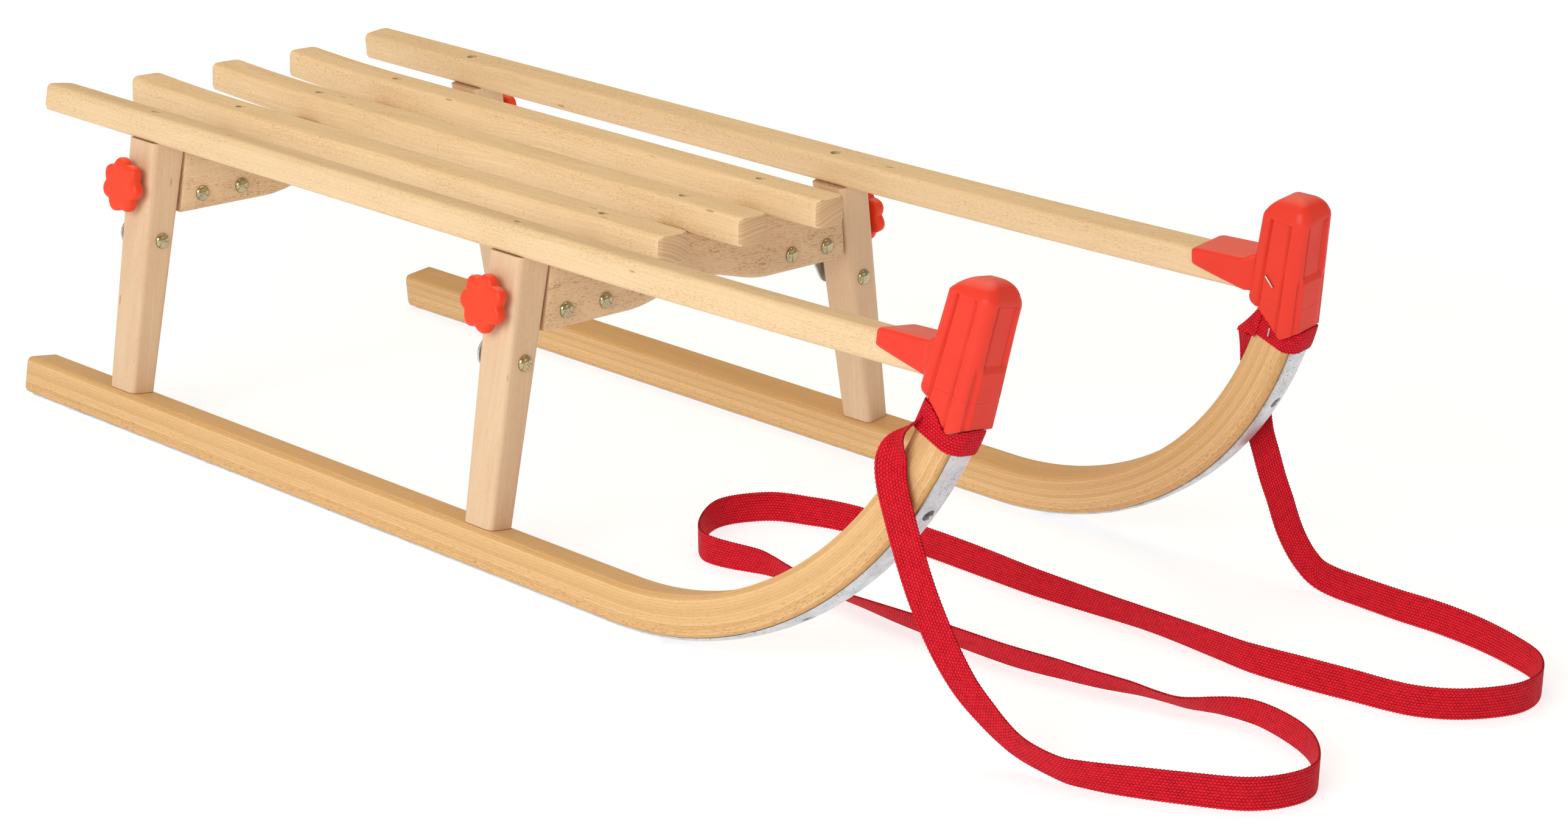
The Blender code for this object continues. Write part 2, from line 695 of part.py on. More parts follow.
# --------------------------------------------------------------------- knobs
def make_knob(side, row, name, parent):
    """Seven-lobed knob with its M8 stud, on its own axis, which points outwards."""
    count = 28

    def ring(radius, h, lobes=0.0):
        points = []
        for k in range(count):
            a = 2 * math.pi * k / count
            # broad round lobes with narrow shallow hollows between them
            r = radius + lobes * (2 * ((1 + math.cos(7 * a)) / 2 + 1e-9) ** 0.6 - 1)
            points.append((r * math.cos(a), r * math.sin(a), h))
        return points

    rings = [
        ring(3.1, STUD_END),
        ring(3.8, STUD_END + 0.9),
        ring(3.8, 3.0),
        ring(10.0, 3.01),
        ring(10.4, 6.6),
        ring(17.8, 6.9, 1.6),
        ring(19.35, 8.2, 1.9),
        ring(19.35, 13.0, 1.9),
        ring(18.4, 15.2, 1.85),
        ring(16.4, 15.9, 1.6),
    ]
    bm = bmesh.new()
    rows = [[bm.verts.new(Vector(p) * MM) for p in r] for r in rings]
    for low, high in zip(rows, rows[1:]):
        for i in range(count):
            j = (i + 1) % count
            bm.faces.new((low[i], low[j], high[j], high[i]))
    bm.faces.new(list(reversed(rows[0])))
    bm.faces.new(rows[-1])
    location = in_frame(side, ROWS[row], KNOB_V, 0)
    return finish_mesh(name, bm, "red_plastic", parent, location, (-side * math.pi / 2, 0, 0))


def make_washer(side, row, name, parent):
    bm = turned([(4.4, 1.15), (8.5, 1.15), (8.5, 2.65), (4.4, 2.65)], 16, closed=True)
    location = in_frame(side, ROWS[row], KNOB_V, 0)
    return finish_mesh(name, bm, "yellow_zinc", parent, location, (-side * math.pi / 2, 0, 0))


# --------------------------------------------------------------------- strap
NEAR_HANG = [
    (800.0, -190.6, -15.0),
    (793.0, -191.9, -27.0),
    (788.4, -193.4, -41.0),
    (788.7, -195.2, -56.0),
    (794.6, -198.0, -80.0),
    (805.0, -200.4, -102.0),
    (818.0, -202.4, -126.0),
    (835.0, -203.2, -154.0),
    (851.6, -201.4, -173.0),
    (875.7, -198.0, -196.0),
    (900.0, -195.0, -209.5),
    (924.4, -192.0, -214.5),
]
ON_FLOOR = [
    (980, -170),
    (1030, -149),
    (1055, -112),
    (1029, -51),
    (977, -15),
    (911, -33),
    (854, -54),
    (793, -61),
    (745, -67),
    (688, -62),
    (640, -61),
    (572, -58),
    (539, -66),
    (494, -59),
    (455, -32),
    (436, 12),
    (452, 47),
    (490, 61),
    (531, 62),
    (595, 58),
    (662, 50),
    (781, 35),
    (844, 41),
    (901, 52),
    (961, 58),
    (1012, 74),
    (1050, 108),
    (1055, 154),
    (1033, 193),
    (992, 222),
    (938, 229),
]
FAR_HANG = [
    (895.0, 228.0, -213.5),
    (865.0, 224.0, -206.0),
    (838.0, 218.0, -188.0),
    (816.0, 212.0, -160.0),
    (800.0, 206.5, -128.0),
    (790.0, 201.5, -98.0),
    (786.0, 197.0, -70.0),
    (788.0, 193.6, -44.0),
    (793.0, 191.9, -28.0),
    (800.0, 190.6, -15.0),
]
STRAP_FLOOR_Z = -FLOOR_DROP + STRAP_WIDE / 2 + 0.4
STRAP_CUTS = (900.0, 905.0)  # where the right and the left hanging stretches end


def smooth_route():
    """The strap's centre line: a Catmull-Rom curve through the route's points."""
    pts = [Vector(p) for p in NEAR_HANG] + [Vector((x, y, STRAP_FLOOR_Z)) for x, y in ON_FLOOR]
    pts += [Vector(p) for p in FAR_HANG]
    out = []
    for i in range(len(pts) - 1):
        p1, p2 = pts[i], pts[i + 1]
        p0 = pts[i - 1] if i else 2 * p1 - p2
        p3 = pts[i + 2] if i + 2 < len(pts) else 2 * p2 - p1
        pieces = max(2, round((p2 - p1).length / 18))
        for k in range(pieces):
            t = k / pieces
            out.append(
                0.5 * (2 * p1 + (p2 - p0) * t + (2 * p0 - 5 * p1 + 4 * p2 - p3) * t * t + (3 * p1 - p0 - 3 * p2 + p3) * t**3)
            )
    out.append(pts[-1])
    low = -FLOOR_DROP + STRAP_WIDE / 2 + 0.35
    return [Vector((p.x, p.y, max(p.z, low))) for p in out]


def ribbon(points):
    """A flat ribbon standing on its edge: its faces look sideways all along."""
    rings = []
    for i, p in enumerate(points):
        a, b = points[max(i - 1, 0)], points[min(i + 1, len(points) - 1)]
        along = (b - a).normalized()
        if p.z > -FLOOR_DROP + STRAP_WIDE / 2 + 3:
            sideways = Vector((0, 1 if p.y > 0 else -1, 0))
        else:
            sideways = Vector((along.y, -along.x, 0)).normalized()
        across = along.cross(sideways).normalized()
        sideways = across.cross(along).normalized()
        half, thin = STRAP_WIDE / 2, STRAP_THICK / 2
        ring = [(-half, -thin), (half, -thin), (half, thin), (-half, thin)]
        rings.append([tuple(p + across * a + sideways * b) for a, b in ring])
    return rings


def make_straps(seat):
    route = smooth_route()
    rings = ribbon(route)
    first = next(i for i, p in enumerate(route) if p.x > STRAP_CUTS[0] and p.z < -200)
    last = len(route) - 1 - next(i for i, p in enumerate(reversed(route)) if p.x > STRAP_CUTS[1] and p.z < -200)

    def shifted(i, amount):
        along = (route[i + 1] - route[i - 1]).normalized() * amount
        return [tuple(Vector(p) + along) for p in rings[i]]

    pieces = {
        "right": rings[:first] + [shifted(first, -0.25)],
        "middle": [shifted(first, 0.25)] + rings[first + 1 : last] + [shifted(last, -0.25)],
        "left": [shifted(last, 0.25)] + rings[last + 1 :],
    }
    for tag, part in pieces.items():
        finish_mesh("pull_strap_" + tag, loft(part), "webbing", seat)


# ------------------------------------------------------------------ assembly
clear_scene()
MATERIALS = make_materials()

seat = empty("seat_frame", (-MIDDLE_X, 0, FLOOR_DROP))
for row in ROWS:
    make_crossbeam(row, "crossbeam_" + row, seat)
for y, tag in ((-SLAT_PITCH, "right"), (0.0, "middle"), (SLAT_PITCH, "left")):
    make_slat("seat_slat_" + tag, y, seat)
    for row in ROWS:
        make_screw("slat_screw_" + tag + "_" + row, seat, (ROWS[row], y, SLAT_TOP - 3.6), (0, 0, 0), 42.0)

for side, tag in ((-1, "right"), (1, "left")):
    py, pz = pivot_world(side)
    frame = empty("side_frame_" + tag, (0, py, pz), seat, side * LEAN)
    make_runner(side, "runner_" + tag, frame)
    make_strip(side, "runner_steel_" + tag, frame)
    make_rail(side, "side_rail_" + tag, frame)
    make_cap(side, "tip_cap_" + tag, frame)
    make_wrap(side, "strap_wrap_" + tag, frame)
    for row in ROWS:
        where = row + "_" + tag
        make_leg(side, row, "leg_" + where, frame)
        make_screw("rail_screw_" + where, frame, in_frame(side, ROWS[row], RAIL_TOP - 3.6, SCREW_W), (0, 0, 0), 40.0)
        make_pivot_rivet(side, row, "pivot_rivet_" + where, frame)
        make_hinge_plate(side, row, "hinge_plate_" + where, seat)
        for at, place in zip(BEAM_RIVETS, ("inner", "outer")):
            make_beam_rivet(
                "beam_rivet_" + place + "_" + where, seat, (ROWS[row] + BEAM_FRONT + GAP, side * at, RIVET_Z)
            )
        make_insert(side, row, "stud_insert_" + where, seat)
        make_washer(side, row, "knob_washer_" + where, frame)
        make_knob(side, row, "star_knob_" + where, frame)
make_straps(seat)
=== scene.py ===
"""Looks of the folding wooden sled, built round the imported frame.

Lengths in the constants are millimetres. A side frame is described in its own
plane: x along the sled from the rear screw row, v up the frame, w outwards, with
v = w = 0 at the lower outer edge of the rail.
"""

import math

import bmesh
import bpy
import numpy as np
from mathutils import Matrix, Vector


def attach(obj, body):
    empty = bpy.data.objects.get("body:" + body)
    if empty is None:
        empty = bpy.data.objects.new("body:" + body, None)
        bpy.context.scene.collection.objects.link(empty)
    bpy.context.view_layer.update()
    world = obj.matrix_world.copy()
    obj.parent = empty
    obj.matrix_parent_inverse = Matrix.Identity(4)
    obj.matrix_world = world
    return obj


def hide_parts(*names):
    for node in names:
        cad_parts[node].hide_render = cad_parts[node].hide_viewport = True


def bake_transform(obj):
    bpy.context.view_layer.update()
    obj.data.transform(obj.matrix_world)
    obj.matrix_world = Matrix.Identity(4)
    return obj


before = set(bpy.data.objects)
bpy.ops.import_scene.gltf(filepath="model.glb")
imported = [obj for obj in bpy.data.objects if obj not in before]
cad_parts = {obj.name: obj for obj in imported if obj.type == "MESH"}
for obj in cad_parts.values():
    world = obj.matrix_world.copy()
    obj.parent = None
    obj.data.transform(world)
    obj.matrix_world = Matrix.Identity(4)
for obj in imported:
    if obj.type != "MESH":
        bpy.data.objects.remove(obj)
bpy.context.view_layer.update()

MM = 0.001

# ------------------------------------------------- the CAD model's own measures
LEAN = math.radians(7.3)
HALF_TOP = 176.5
LEG_ROW = 408.0
ROWS = {"rear": 0.0, "front": LEG_ROW}
FLOOR_DROP = 224.715
MIDDLE_X = 363.273
GAP = 0.3
PIVOT_V, PIVOT_W = -74.6, -13.6
KNOB_V = -35.0
RAIL_TOP, RAIL_WIDE = 21.0, 27.9
RAIL_REAR, RAIL_FRONT = -124.0, 803.0
RAIL_RISE = 4.6
SCREW_W = -14.6
SLAT_TOP, SLAT_UNDER, SLAT_WIDE = 11.7, -10.0, 31.2
SLAT_REAR, SLAT_FRONT, SLAT_PITCH = -121.3, 480.3, 79.4
SLAT_RISE = 3.5
BEAM_FRONT, BEAM_REAR = 19.2, -12.8
BEAM_TOP, BEAM_FOOT = -10.3, -57.5
BEAM_HALF_TOP, BEAM_HALF_FOOT = 147.0, 153.3
BEAM_ARCH, BEAM_ARCH_HALF = 12.0, 70.0
BEAM_RIVETS = (94.5, 132.4)
RIVET_Z = -45.0
LEG_FOOT_V = -192.6
LEG_HEAD = (-13.2, 19.2, -30.5, 0.0)
LEG_FOOT = (-5.0, 24.0, -18.2, 4.25)
RUNNER_UNDER, RUNNER_THICK = -221.5, 28.5
RUNNER_IN, RUNNER_OUT = -21.0, 7.4
RUNNER_REAR, RUNNER_BEND = -107.8, 559.7
BEND_R, BEND_TO = 290.0, math.radians(70)
TIP_R, TIP_TO = 80.0, math.radians(90)
TIP_STRAIGHT = 20.0
STRIP_IN, STRIP_OUT, STRIP_THICK = -16.8, 3.2, 2.7
STRAP_WIDE = 23.0
WRAP_WIDE = 20.0
STUD_END = -39.0
INSERT_OUT, INSERT_IN = -31.0, -44.0

SIDES = ((-1, "right"), (1, "left"))
SIN, COS = math.sin(LEAN), math.cos(LEAN)


# ------------------------------------------------------------------ places
def on_side(side, x, v, w):
    """World point, in metres, of a point in a side frame."""
    return Vector((x - MIDDLE_X, side * (HALF_TOP - v * SIN + w * COS), v * COS + w * SIN + FLOOR_DROP)) * MM


def off_side(side, p):
    """A side frame's (x, v, w) of a world point."""
    y = side * p[1] / MM - HALF_TOP
    z = p[2] / MM - FLOOR_DROP
    return p[0] / MM + MIDDLE_X, -y * SIN + z * COS, y * COS + z * SIN


def on_seat(x, y, z):
    return Vector((x - MIDDLE_X, y, z + FLOOR_DROP)) * MM


def off_seat(p):
    return p[0] / MM + MIDDLE_X, p[1] / MM, p[2] / MM - FLOOR_DROP


def rail_lift(x):
    return RAIL_RISE * ((x - LEG_ROW) / 392.0) ** 2 if x > LEG_ROW else 0.0


def slat_lift(x):
    return SLAT_RISE * (x / 121.3) ** 2 if x < -14 else 0.0


def path_at(s):
    """(x, v, direction) of the runner's convex line at the run s in mm from x = 0."""
    bend = BEND_R * BEND_TO
    tip = TIP_R * (TIP_TO - BEND_TO)
    if s <= RUNNER_BEND:
        return s, RUNNER_UNDER, 0.0
    if s <= RUNNER_BEND + bend:
        t = (s - RUNNER_BEND) / BEND_R
        return RUNNER_BEND + BEND_R * math.sin(t), RUNNER_UNDER + BEND_R * (1 - math.cos(t)), t
    x0 = RUNNER_BEND + BEND_R * math.sin(BEND_TO)
    v0 = RUNNER_UNDER + BEND_R * (1 - math.cos(BEND_TO))
    cx, cv = x0 - TIP_R * math.sin(BEND_TO), v0 + TIP_R * math.cos(BEND_TO)
    t = min(TIP_TO, BEND_TO + (s - RUNNER_BEND - bend) / TIP_R)
    x1, v1 = cx + TIP_R * math.sin(t), cv - TIP_R * math.cos(t)
    rest = max(0.0, s - RUNNER_BEND - bend - tip)
    return x1 + rest * math.cos(t), v1 + rest * math.sin(t), t


PATH_END = RUNNER_BEND + BEND_R * BEND_TO + TIP_R * (TIP_TO - BEND_TO) + TIP_STRAIGHT


def run_of(angle_deg):
    """The run s at which the runner's line has this direction, in the main bend or the tip bend."""
    t = math.radians(angle_deg)
    if t <= BEND_TO:
        return RUNNER_BEND + BEND_R * t
    return RUNNER_BEND + BEND_R * BEND_TO + TIP_R * (t - BEND_TO)


def off_path(x, v):
    """(s, height above the convex line) of a point near the runner."""
    if x <= RUNNER_BEND:
        return x, v - RUNNER_UNDER
    t = math.atan2(x - RUNNER_BEND, RUNNER_UNDER + BEND_R - v)
    if 0 <= t <= BEND_TO:
        return RUNNER_BEND + BEND_R * t, BEND_R - math.hypot(x - RUNNER_BEND, RUNNER_UNDER + BEND_R - v)
    x0 = RUNNER_BEND + BEND_R * math.sin(BEND_TO)
    v0 = RUNNER_UNDER + BEND_R * (1 - math.cos(BEND_TO))
    cx, cv = x0 - TIP_R * math.sin(BEND_TO), v0 + TIP_R * math.cos(BEND_TO)
    t = math.atan2(x - cx, cv - v)
    if t <= TIP_TO:
        return RUNNER_BEND + BEND_R * BEND_TO + TIP_R * (t - BEND_TO), TIP_R - math.hypot(x - cx, cv - v)
    x1, v1, t1 = path_at(PATH_END - TIP_STRAIGHT)
    along = (x - x1) * math.cos(t1) + (v - v1) * math.sin(t1)
    return PATH_END - TIP_STRAIGHT + along, -(x - x1) * math.sin(t1) + (v - v1) * math.cos(t1)


def thick_at(t):
    return RUNNER_THICK + 2.0 * min(1.0, t / BEND_TO)


# ------------------------------------------------------------------ meshes
def rounded(a0, a1, b0, b1, r, steps=5, na=6, nb=4):
    """Rounded rectangle as a ring with extra points along its flats."""
    ring = []
    corners = ((a0 + r, b0 + r, 180), (a1 - r, b0 + r, 270), (a1 - r, b1 - r, 0), (a0 + r, b1 - r, 90))
    for i, (ca, cb, start) in enumerate(corners):
        for k in range(steps + 1):
            t = math.radians(start + 90 * k / steps)
            ring.append((ca + r * math.cos(t), cb + r * math.sin(t)))
        na_, nb_ = corners[(i + 1) % 4][0:2]
        end = (na_ + r * math.cos(math.radians(start + 90)), nb_ + r * math.sin(math.radians(start + 90)))
        count = na if i % 2 == 0 else nb
        first = ring[-1]
        for k in range(1, count):
            ring.append((first[0] + (end[0] - first[0]) * k / count, first[1] + (end[1] - first[1]) * k / count))
    return ring


def skin(rings, closed=False, bm=None):
    """Skin over rings of points in metres; a ring of one point closes its end."""
    bm = bm or bmesh.new()
    rows = [[bm.verts.new(p) for p in ring] for ring in rings]
    pairs = list(zip(rows, rows[1:]))
    if closed:
        pairs.append((rows[-1], rows[0]))
    for low, high in pairs:
        n = max(len(low), len(high))
        for i in range(n):
            j = (i + 1) % n
            if len(low) == 1:
                bm.faces.new((low[0], high[j], high[i]))
            elif len(high) == 1:
                bm.faces.new((low[i], low[j], high[0]))
            else:
                bm.faces.new((low[i], low[j], high[j], high[i]))
    return bm


def make(name, bm, materials, sharp=34.0, body=None, stands_for=()):
    bmesh.ops.recalc_face_normals(bm, faces=bm.faces)
    mesh = bpy.data.meshes.new(name)
    bm.to_mesh(mesh)
    bm.free()
    for m in materials if isinstance(materials, (list, tuple)) else [materials]:
        mesh.materials.append(m)
    mesh.shade_smooth()
    if sharp:
        mesh.set_sharp_from_angle(angle=math.radians(sharp))
    obj = bpy.data.objects.new(name, mesh)
    bpy.context.scene.collection.objects.link(obj)
    if body:
        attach(obj, body)
    if stands_for:
        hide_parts(*stands_for)
    return obj


def cut(obj, tools, operation="DIFFERENCE"):
    """Applies exact booleans with closed tool meshes, which are removed."""
    made = []
    for bm in tools:
        bmesh.ops.recalc_face_normals(bm, faces=bm.faces)
        mesh = bpy.data.meshes.new("tool")
        bm.to_mesh(mesh)
        bm.free()
        tool = bpy.data.objects.new("tool", mesh)
        bpy.context.scene.collection.objects.link(tool)
        made.append(tool)
        mod = obj.modifiers.new("cut", "BOOLEAN")
        mod.operation = operation
        mod.solver = "EXACT"
        mod.object = tool
    bpy.context.view_layer.update()
    graph = bpy.context.evaluated_depsgraph_get()
    fresh = bpy.data.meshes.new_from_object(obj.evaluated_get(graph))
    obj.modifiers.clear()
    old = obj.data
    obj.data = fresh
    fresh.name = obj.name
    bpy.data.meshes.remove(old)
    for tool in made:
        bpy.data.objects.remove(tool)
    return obj


def resharpen(obj, angle=34.0):
    obj.data.shade_smooth()
    obj.data.set_sharp_from_angle(angle=math.radians(angle))


def grain(obj, where, seed, end_axis=0, ends=True):
    """Stores (along, up, across) in metres on each point, for the wood materials, and gives end grain its slot."""
    mesh = obj.data
    data = mesh.attributes.new("grain", "FLOAT_VECTOR", "POINT")
    shift = (0.37 * seed, 0.0, 0.0)
    flat = []
    for v in mesh.vertices:
        g = where(v.co)
        flat += [g[0] * MM + shift[0], g[1] * MM, g[2] * MM]
    data.data.foreach_set("vector", flat)
    seed_data = mesh.attributes.new("piece", "FLOAT", "POINT")
    seed_data.data.foreach_set("value", [float(seed)] * len(mesh.vertices))
    if ends and len(mesh.materials) > 1:
        values = np.array(flat).reshape(-1, 3)
        for poly in mesh.polygons:
            ids = list(poly.vertices)
            a, b, c = (values[i] for i in ids[:3])
            n = np.cross(b - a, c - a)
            size = np.linalg.norm(n)
            if size > 1e-12 and abs(n[end_axis]) / size > 0.72:
                poly.material_index = 1
    return obj


def cylinder(centre, direction, radius, length, steps=40, lip=0.0):
    """Closed cylinder tool in metres; centre and sizes in mm, with an optional flare at its far end."""
    d = Vector(direction).normalized()
    a = d.orthogonal().normalized()
    b = d.cross(a)
    base = Vector(centre)

    def ring(r, h):
        return [
            (base + d * h + a * r * math.cos(2 * math.pi * k / steps) + b * r * math.sin(2 * math.pi * k / steps)) * MM
            for k in range(steps)
        ]

    rings = [[base * MM], ring(radius, 0)]
    if lip:
        rings += [ring(radius, length - 8.0 - lip), ring(radius + lip, length - 8.0), ring(radius + lip, length)]
    else:
        rings.append(ring(radius, length))
    rings.append([(base + d * length) * MM])
    return skin(rings)


def turned(profile, place, steps=48):
    """Solid of revolution; place(radius·cos, radius·sin, height) gives a world point in metres."""
    rings = []
    for r, h in profile:
        if r == 0:
            rings.append([place(0.0, 0.0, h)])
        else:
            rings.append(
                [place(r * math.cos(2 * math.pi * k / steps), r * math.sin(2 * math.pi * k / steps), h) for k in range(steps)]
            )
    return rings


def prism(outline, low, high, place):
    bm = bmesh.new()
    rows = [[bm.verts.new(place(a, b, h)) for a, b in outline] for h in (low, high)]
    n = len(outline)
    for k in range(n):
        j = (k + 1) % n
        bm.faces.new((rows[0][k], rows[0][j], rows[1][j], rows[1][k]))
    bm.faces.new(list(reversed(rows[0])))
    bm.faces.new(rows[1])
    return bm


def arc(ca, cb, radius, start, stop, steps):
    return [
        (
            ca + radius * math.cos(math.radians(start + (stop - start) * k / steps)),
            cb + radius * math.sin(math.radians(start + (stop - start) * k / steps)),
        )
        for k in range(steps + 1)
    ]


# --------------------------------------------------------------- materials
class Nodes:
    """Small helper to write node trees."""

    def __init__(self, name):
        self.mat = bpy.data.materials.new(name)
        self.mat.use_nodes = True
        self.tree = self.mat.node_tree
        self.tree.nodes.clear()
        self.out = self.tree.nodes.new("ShaderNodeOutputMaterial")
        self.shader = self.tree.nodes.new("ShaderNodeBsdfPrincipled")
        self.tree.links.new(self.shader.outputs[0], self.out.inputs[0])

    def new(self, kind, **values):
        n = self.tree.nodes.new(kind)
        for k, v in values.items():
            setattr(n, k, v)
        return n

    def link(self, a, b):
        self.tree.links.new(a, b)

    def put(self, socket, value):
        if isinstance(value, bpy.types.NodeSocket):
            self.link(value, socket)
        else:
            socket.default_value = value

    def math(self, op, a, b=None, c=None, clamp=False):
        n = self.new("ShaderNodeMath", operation=op, use_clamp=clamp)
        self.put(n.inputs[0], a)
        if b is not None:
            self.put(n.inputs[1], b)
        if c is not None:
            self.put(n.inputs[2], c)
        return n.outputs[0]

    def vec(self, op, a, b):
        n = self.new("ShaderNodeVectorMath", operation=op)
        self.put(n.inputs[0], a)
        self.put(n.inputs[1], b)
        return n.outputs[0]

    def attribute(self, name):
        return self.new("ShaderNodeAttribute", attribute_name=name, attribute_type="GEOMETRY")

    def noise(self, vector, scale=1.0, detail=2.0, rough=0.5, distort=0.0, dims="3D"):
        n = self.new("ShaderNodeTexNoise", noise_dimensions=dims)
        if vector is not None:
            self.link(vector, n.inputs["Vector"])
        n.inputs["Scale"].default_value = scale
        n.inputs["Detail"].default_value = detail
        n.inputs["Roughness"].default_value = rough
        n.inputs["Distortion"].default_value = distort
        return n.outputs[0]

    def noise1(self, w, scale=1.0, detail=2.0, rough=0.5):
        n = self.new("ShaderNodeTexNoise", noise_dimensions="1D")
        self.link(w, n.inputs["W"])
        n.inputs["Scale"].default_value = scale
        n.inputs["Detail"].default_value = detail
        n.inputs["Roughness"].default_value = rough
        return n.outputs[0]

    def ramp(self, value, stops):
        n = self.new("ShaderNodeValToRGB")
        self.link(value, n.inputs[0])
        e = n.color_ramp.elements
        while len(e) < len(stops):
            e.new(0.5)
        for k, (at, colour) in enumerate(stops):
            e[k].position = at
            e[k].color = (*colour, 1) if len(colour) == 3 else colour
        return n.outputs[0]

    def range(self, value, a, b, c=0.0, d=1.0):
        n = self.new("ShaderNodeMapRange")
        self.link(value, n.inputs["Value"])
        for key, x in (("From Min", a), ("From Max", b), ("To Min", c), ("To Max", d)):
            n.inputs[key].default_value = x
        return n.outputs[0]

    def mix(self, factor, a, b, blend="MIX"):
        n = self.new("ShaderNodeMix", data_type="RGBA", blend_type=blend)
        self.put(n.inputs[0], factor)
        for socket, value in ((n.inputs[6], a), (n.inputs[7], b)):
            if isinstance(value, bpy.types.NodeSocket):
                self.link(value, socket)
            else:
                socket.default_value = (*value, 1)
        return n.outputs[2]

    def bump(self, height, strength, distance):
        n = self.new("ShaderNodeBump")
        n.inputs["Strength"].default_value = strength
        n.inputs["Distance"].default_value = distance
        self.link(height, n.inputs["Height"])
        self.link(n.outputs[0], self.shader.inputs["Normal"])
        return n.outputs[0]

    def split(self, vector):
        n = self.new("ShaderNodeSeparateXYZ")
        self.link(vector, n.inputs[0])
        return n.outputs

    def join(self, x, y, z):
        n = self.new("ShaderNodeCombineXYZ")
        self.put(n.inputs[0], x)
        self.put(n.inputs[1], y)
        self.put(n.inputs[2], z)
        return n.outputs[0]


def wood(name, light, deep, fleck, fleck_amount=0.5, blotch=0.25, ring_gap=3.4, rough=0.5, pink=None):
    """Beech: faint year rings round a far-off pith, fine fibres, short dark flecks, soft patches."""
    m = Nodes(name)
    g = m.attribute("grain").outputs["Vector"]
    piece = m.attribute("piece").outputs["Fac"]
    mm = m.vec("MULTIPLY", g, (1000.0, 1000.0, 1000.0))
    x, u, a = m.split(mm)[0:3]
    # year rings: distance from a pith that wanders along the bar
    drift = m.noise(m.join(m.math("MULTIPLY", x, 0.006), piece, 0.0), 1.0, 1.0)
    off = m.math("MULTIPLY", m.math("SINE", m.math("MULTIPLY", piece, 2.4)), 38.0)
    du = m.math("ADD", m.math("ADD", u, 58.0), m.math("MULTIPLY", drift, 16.0))
    da = m.math("ADD", m.math("ADD", a, off), m.math("MULTIPLY", drift, -9.0))
    dist = m.math("SQRT", m.math("ADD", m.math("MULTIPLY", du, du), m.math("MULTIPLY", da, da)))
    wob = m.noise(m.join(m.math("MULTIPLY", x, 0.012), m.math("MULTIPLY", u, 0.05), m.math("MULTIPLY", a, 0.05)), 1.0, 2.0)
    dist = m.math("ADD", dist, m.math("MULTIPLY", wob, 3.0))
    rings = m.noise1(m.math("MULTIPLY", dist, 1.0 / ring_gap), 1.6, 3.0, 0.6)
    # fibres
    fibre = m.noise(m.join(m.math("MULTIPLY", x, 0.035), m.math("MULTIPLY", u, 1.5), m.math("MULTIPLY", a, 1.5)), 1.0, 4.0, 0.62)
    # flecks: short dashes along the grain
    cell = m.noise(m.join(m.math("MULTIPLY", x, 0.30), m.math("MULTIPLY", u, 2.3), m.math("MULTIPLY", a, 2.3)), 1.0, 1.0, 0.5)
    flecks = m.range(cell, 0.575, 0.635)
    patch = m.noise(m.join(m.math("MULTIPLY", x, 0.012), m.math("MULTIPLY", u, 0.07), m.math("MULTIPLY", a, 0.07)), 1.0, 2.0, 0.55)
    flecks = m.math("MULTIPLY", flecks, m.math("MULTIPLY", m.range(patch, 0.35, 0.62, 0.25, 1.0), fleck_amount))
    # long darker streaks
    streak = m.noise(m.join(m.math("MULTIPLY", x, 0.005), m.math("MULTIPLY", u, 0.35), m.math("MULTIPLY", a, 0.35)), 1.0, 2.0, 0.5)
    colour = m.mix(m.range(rings, 0.32, 0.72, 0.0, 0.40), light, deep)
    colour = m.mix(m.range(fibre, 0.35, 0.75, 0.0, 0.42), colour, deep)
    colour = m.mix(m.range(streak, 0.55, 0.78, 0.0, 0.22), colour, deep)
    if pink:
        colour = m.mix(m.range(patch, 0.42, 0.66, 0.0, 0.6), colour, pink)
    else:
        colour = m.mix(m.range(patch, 0.45, 0.75, 0.0, blotch), colour, deep)
    colour = m.mix(flecks, colour, fleck)
    # a rare small knot or mark
    spot = m.new("ShaderNodeTexVoronoi", feature="F1")
    spot.inputs["Scale"].default_value = 1.0
    m.link(m.join(m.math("MULTIPLY", x, 0.011), m.math("MULTIPLY", u, 0.045), m.math("MULTIPLY", a, 0.045)), spot.inputs["Vector"])
    mark = m.range(spot.outputs["Distance"], 0.035, 0.055, 0.75, 0.0)
    colour = m.mix(mark, colour, fleck)
    tone = m.math("ADD", 0.965, m.math("MULTIPLY", m.math("SINE", m.math("MULTIPLY", piece, 12.9)), 0.035))
    tint = m.join(tone, tone, tone)
    colour = m.mix(1.0, colour, tint, "MULTIPLY")
    m.link(colour, m.shader.inputs["Base Color"])
    m.link(m.range(fibre, 0.3, 0.7, rough - 0.05, rough + 0.09), m.shader.inputs["Roughness"])
    m.shader.inputs["IOR"].default_value = 1.45
    m.shader.inputs["Specular IOR Level"].default_value = 0.38
    height = m.math("ADD", m.math("MULTIPLY", fibre, 0.6), m.math("MULTIPLY", flecks, -0.7))
    m.bump(height, 0.22, 0.00012)
    return m.mat


